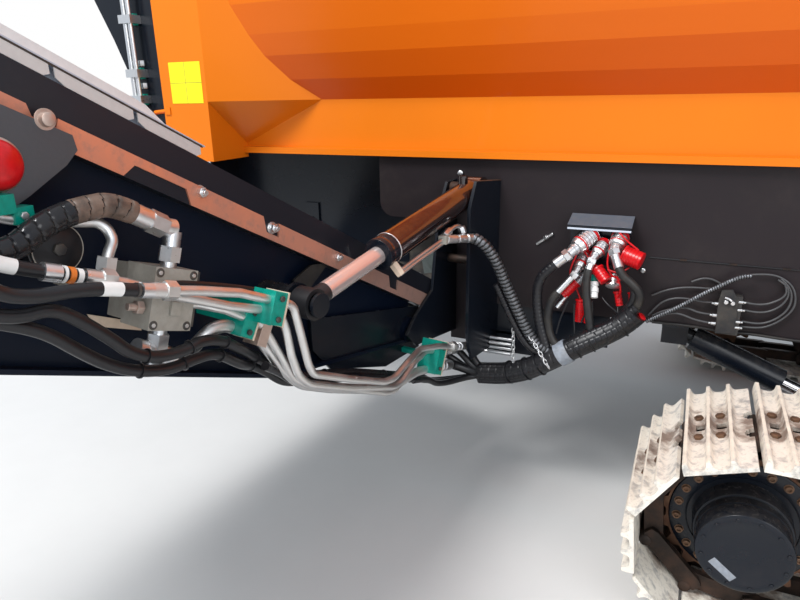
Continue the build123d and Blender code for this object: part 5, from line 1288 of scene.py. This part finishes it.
def add_grease_lines():
    """Grease block's plate, nipples and thin lines on the side plate."""
    parts = Piece("grease_lines", "chassis")
    parts.box(mach(-1397, -669, 842), (35, 19, 70), BLOCK_CAST)
    parts.plate(GREASE_PLATE, on_side, -692, -680, BLOCK_CAST)
    for x, z in NIPPLES:
        way = -1 if x < -1397 else 1
        x0, x1, x2 = (mach(x + way * ahead, -684, z) for ahead in (-10, 6, 14))
        parts.rod(x0, x1, 6, ZINC, 14)
        parts.rod(x1, x2, 4, ZINC, 14)
    for x, z in ((-1412, 892), (-1391, 890)):
        parts.rod(mach(x, -690, z), mach(x, -704, z), 7, ZINC, 16)
    strap(parts, ((-1417, -700, 908), (-1400, -702, 906), (-1396, -702, 898)), ZINC, 4)
    for y, points in GREASE_RUNS:
        strap(parts, [(x, y, z) for x, z in points], LINE_GREY, 3.4)
    parts.tube(path([(x, -690, z) for x, z in CONDUIT], 1.5), 7.5, WRAP, 16, (8, 3.4, 1.2), GAP)
    parts.tube(path([(x, -656, z) for x, z in SILL_HOSE], 10), 5, DUSTY_HOSE, 12)
    parts.tube(spaced([mach(x, -651, z) for x, z in SEAM], 0.02), 3, HOSE, 10)
    for x, z in SEAM_CLIPS:
        parts.box(mach(x, -654, z), (11, 2, 3), CHAIN_STEEL)
    parts.build(["grease_block"], "zinc_steel")


def add_hopper_details():
    """Blank yellow plate in four fields and an orange lug on the hopper's corner."""
    parts = Piece("hopper_details", "chassis", edge=0.6)
    x0, x1, z0, z1 = DECAL
    x, z, half_x, half_z = (x0 + x1) / 2, (z0 + z1) / 2, (x1 - x0) / 2, (z1 - z0) / 2
    y = -HOPPER_POST_Y
    parts.box(mach(x, y - 0.8, z), (half_x, 0.8, half_z), YELLOW)
    parts.box(mach(x, y - 1.7, z), (0.7, 0.2, half_z), DARK_CAST)
    parts.box(mach(x, y - 1.7, z), (half_x, 0.2, 0.7), DARK_CAST)
    lug = mach(-3640, y + 6, 1536)
    parts.rod(lug + Vector((-0.07, 0, -0.006)), lug, 9, ORANGE)
    parts.box(lug + Vector((0.012, -0.004, 0)), (14, 7, 15), ORANGE)
    parts.build()


def add_front_pipe_details():
    """Clamps and nuts on the pipes of the end frame."""
    parts = Piece("front_pipe_details", "chassis", edge=0.6)
    for z in (1585, 1690, 1900):
        parts.box(mach(-3772, -902, z), (14, 12, 22), WHITE)
        parts.box(mach(-3745, -902, z), (13, 12, 22), TEAL)
    for x, z in ((-3772, 1560), (-3746, 1640), (-3746, 1730)):
        parts.nut(mach(x, -890, z - 12), mach(x, -890, z + 12), 28, ZINC)
    parts.build()


def add_strip_details():
    """Bolts in the strip's notches, the gusset's stud, and the red dome with its collar and blocks."""
    parts = Piece("strip_bolts", "conveyor", edge=0.6)
    for s, z in ((1099, 1374), (876, 1247), (617, 1109), (1850, 1800)):
        parts.turned(conv(s, -2, z), conv(s, 20, z), [(0, 17), (3, 17), (3, 13), (4, 13)], ZINC, 28)
        parts.nut(conv(s, 2, z), conv(s, 16, z), 22, ZINC)
        parts.rod(conv(s, 14, z), conv(s, 25, z), 7, ZINC)
    s, z = DOME
    stud, face = conv(1445, 26, 1556), conv(s, 28, z)
    out = (conv(0, 1, 0) - conv(0, 0, 0)).normalized()
    dome = [(12, 45.5)]
    dome += [(14 + 32 * math.sin(a), 45.5 * math.cos(a)) for a in (math.pi * k / 24 for k in range(12))]
    for base, profile, finish, sides in (
            (stud, [(0, 20), (3, 20), (3, 14), (16, 13), (18, 10), (18, 0.5)], BARE_STEEL, 28),
            (face, [(0, 50), (10, 50), (14, 46), (15, 40)], BARE_STEEL, 40),
            (face, dome + [(46, 0.5)], RED, 48)):
        parts.turned(base, base + out, profile, finish, sides)
    for s, z, half in ((1565, 1418, (26, 17, 17)), (1532, 1394, (16, 19, 15))):
        parts.box(conv(s, 46, z), half, TEAL)
        parts.nut(conv(s, 63, z), conv(s, 70, z), 13, ZINC)
    parts.build(["red_dome"], "red_plastic")


def beam_top(s):
    """Height in mm of the beam's top edge at a distance out."""
    return BEAM_TOP + math.tan(math.radians(CONV_INCLINE)) * s


def add_skirt_sky_reflection():
    """Painted sky reflection on the conveyor's far side board: a white band along its top flange and notched white
    pieces under its lip, with a thin dark strip between.
    """
    parts = Piece("skirt_painted_reflection", "conveyor")

    def band(corners, v0, v1, finish):
        parts.plate([(s, beam_top(s) + over) for s, over in corners], on_beam, v0, v1, finish)

    # White band and notched white pieces: painted reflection of the sky on the far side's glossy edges
    band([(585, 281), (690, 330), (2900, 330), (2900, 281)], -780, -775, WHITE)
    band([(510, 268), (510, 275), (3100, 275), (3100, 268)], -726, -721, DARK_CAST)
    notched = ((0, 268), (240, 268), (240, 238), (215, 226), (20, 226), (0, 240))
    for start in range(520, 3000, 255):
        band([(start + s, over) for s, over in notched], -728, -722, WHITE)
    parts.build()


def add_hinge_details():
    """Plugs and pipes round the hinge, the stay with its rod, chains, and the coupler box's lid."""
    parts = Piece("hinge_details", "chassis", edge=0.6)
    for x, y, z, r in ((-2393, -652, 1290, 11), (-1690, -652, 966, 9), (-2580, -624, 850, 9)):
        parts.turned(mach(x, y, z), mach(x, y - 12, z), [(0, r), (8, r), (11, r * 0.6), (11, 0.5)], ZINC, 24)
    for start, end, r in HINGE_RODS:
        parts.rod(mach(*start), mach(*end), r, ZINC)
    for start, end in CHAINS:
        add_chain(parts, start, end)
    parts.plate(STAY, on_side, -640, -628, STAY_STEEL)
    # Lid's front edge in pale blue: painted highlight of the sky
    parts.plate(LID_EDGE, on_side, -747.5, -744, PALE)
    parts.rings([[mach(x, y, z) for x in (-1954, -1735)] + [mach(x, y + 0.4, z + 1.4) for x in (-1735, -1954)]
                 for y, z in ((-653, 1158.5), (-745, 1133.5))], LID_PAINT)
    parts.build()


# Rods and pipes at the hinge and on the side plate: both ends and radius
HINGE_RODS = (
    ((-2262, -700, 641), (-2150, -700, 641), 7), ((-2272, -706, 622), (-2150, -706, 622), 7),
    ((-2285, -700, 600), (-2150, -700, 600), 7), ((-2296, -706, 580), (-2150, -706, 580), 7),
    ((-2082, -652, 1030), (-2020, -656, 1078), 5), ((-2052, -652, 1056), (-2040, -658, 1064), 9),
    ((-2458, -634, 938), (-2330, -640, 950), 19),
)
# Stay behind the ram's pipes and front edge of the coupler box's lid, its pale strip a painted sky highlight: X and Z
STAY = ((-2570, 941), (-2463, 966), (-2455, 884), (-2556, 861))
LID_EDGE = ((-1953, 1118), (-1736, 1118), (-1736, 1124.5), (-1953, 1124.5))
# Ears beside the ram: outline out and height, across from and to
EARS = (
    (((-146, 600), (60, 600), (95, 700), (95, 1190), (48, 1286), (-146, 1268)), 175, 187),
    (((-105, 640), (200, 670), (260, 730), (200, 790), (80, 860), (30, 1150), (-30, 1266), (-105, 1270)),
     8, 20),
)
EAR_RIDGE = ((46, 1286), (-146, 1268))
# Pins and tube between the ears: out, height, radius, across from and to
EAR_PINS = ((-60, 1242, 22, 20, 175), (200, 730, 25, -63, 8), (-46, 965, 17, 20, 175))
# Pad behind the ears, plates inside the notch and under the sill: X, Y and Z from and to, finish
BACK_PLATES = (
    (-2425, -2236, -662, -650, 600, 1255, SIDE_PAINT),
    (-2900, -2415, -446, -438, 730, 1130, DARK_CAST),
    (-2236, -1790, -640, -632, 640, 790, BLACK),
    (-2330, -2010, -640, -632, 560, 650, BLACK),
)


def add_ram_bracket():
    """Ears of the ram's base and the near hinge, their pins, and the dark plates behind them."""
    parts = Piece("bracket_plates", "chassis", edge=0.8)
    for outline, v0, v1 in EARS:
        parts.plate(outline, on_beam, v0, v1, BLACK)
    (s0, z0), (s1, z1) = EAR_RIDGE
    lift = 2.5
    parts.plate([(s0, z0), (s1, z1), (s1, z1 + lift), (s0, z0 + lift)], on_beam, 173.5, 188.5, RUSTY_STEEL)
    for s, z, r, v0, v1 in EAR_PINS:
        parts.rod(conv(s, v0, z), conv(s, v1, z), r, CHAIN_STEEL, 32)
    for x0, x1, y0, y1, z0, z1, finish in BACK_PLATES:
        middle = mach((x0 + x1) / 2, (y0 + y1) / 2, (z0 + z1) / 2)
        parts.box(middle, ((x1 - x0) / 2, (y1 - y0) / 2, (z1 - z0) / 2), finish)
    parts.build(["ram_bracket"], "black_steel")


def add_ram_gland():
    """Dark gland and bright ring at the mouth of the ram's barrel."""
    parts = Piece("ram_gland", "ram_barrel", edge=0.6)
    base, eye = conv(*RAM_BASE), conv(*RAM_EYE)
    ahead = (eye - base).normalized() / 1000
    gland = [(0, 50.2), (1, 51), (26, 51), (28, 47), (34, 47), (36, 51.5), (54, 51.5), (56, 44), (57, 29)]
    parts.turned(base + ahead * 575, eye, gland, BLACK, 48)
    parts.turned(base + ahead * 572, eye, [(0, 50.2), (1, 52.4), (4, 52.4), (5, 51)], ZINC, 48)
    parts.build()


RNG = random.Random(7)

note_size("w")
add_camera()
add_world()
add_lamp("key", (-5.0, -6.0, 8.5), (-1.8, -0.8, 0.9), 3.0, 900)
add_lamp("fill", (4.0, -7.0, 4.5), (-0.5, 0, 0.8), 5.0, 260)
add_floor()
finish_nodes()
for side_name, side in (("near", -1), ("far", 1)):
    add_track(side_name, side * TRACK_Y, RNG)
    add_drive_wheel(side_name, side * TRACK_Y, side)
for add_pieces in (add_conveyor_hoses, add_thin_line, add_valve_details, add_clamp_details, add_ram_details,
                   add_pipe_ends, add_couplers, add_coupler_hoses, add_grease_lines, add_hopper_details,
                   add_front_pipe_details, add_strip_details, add_skirt_sky_reflection, add_hinge_details,
                   add_ram_bracket, add_ram_gland):
    add_pieces()
note_size("a")
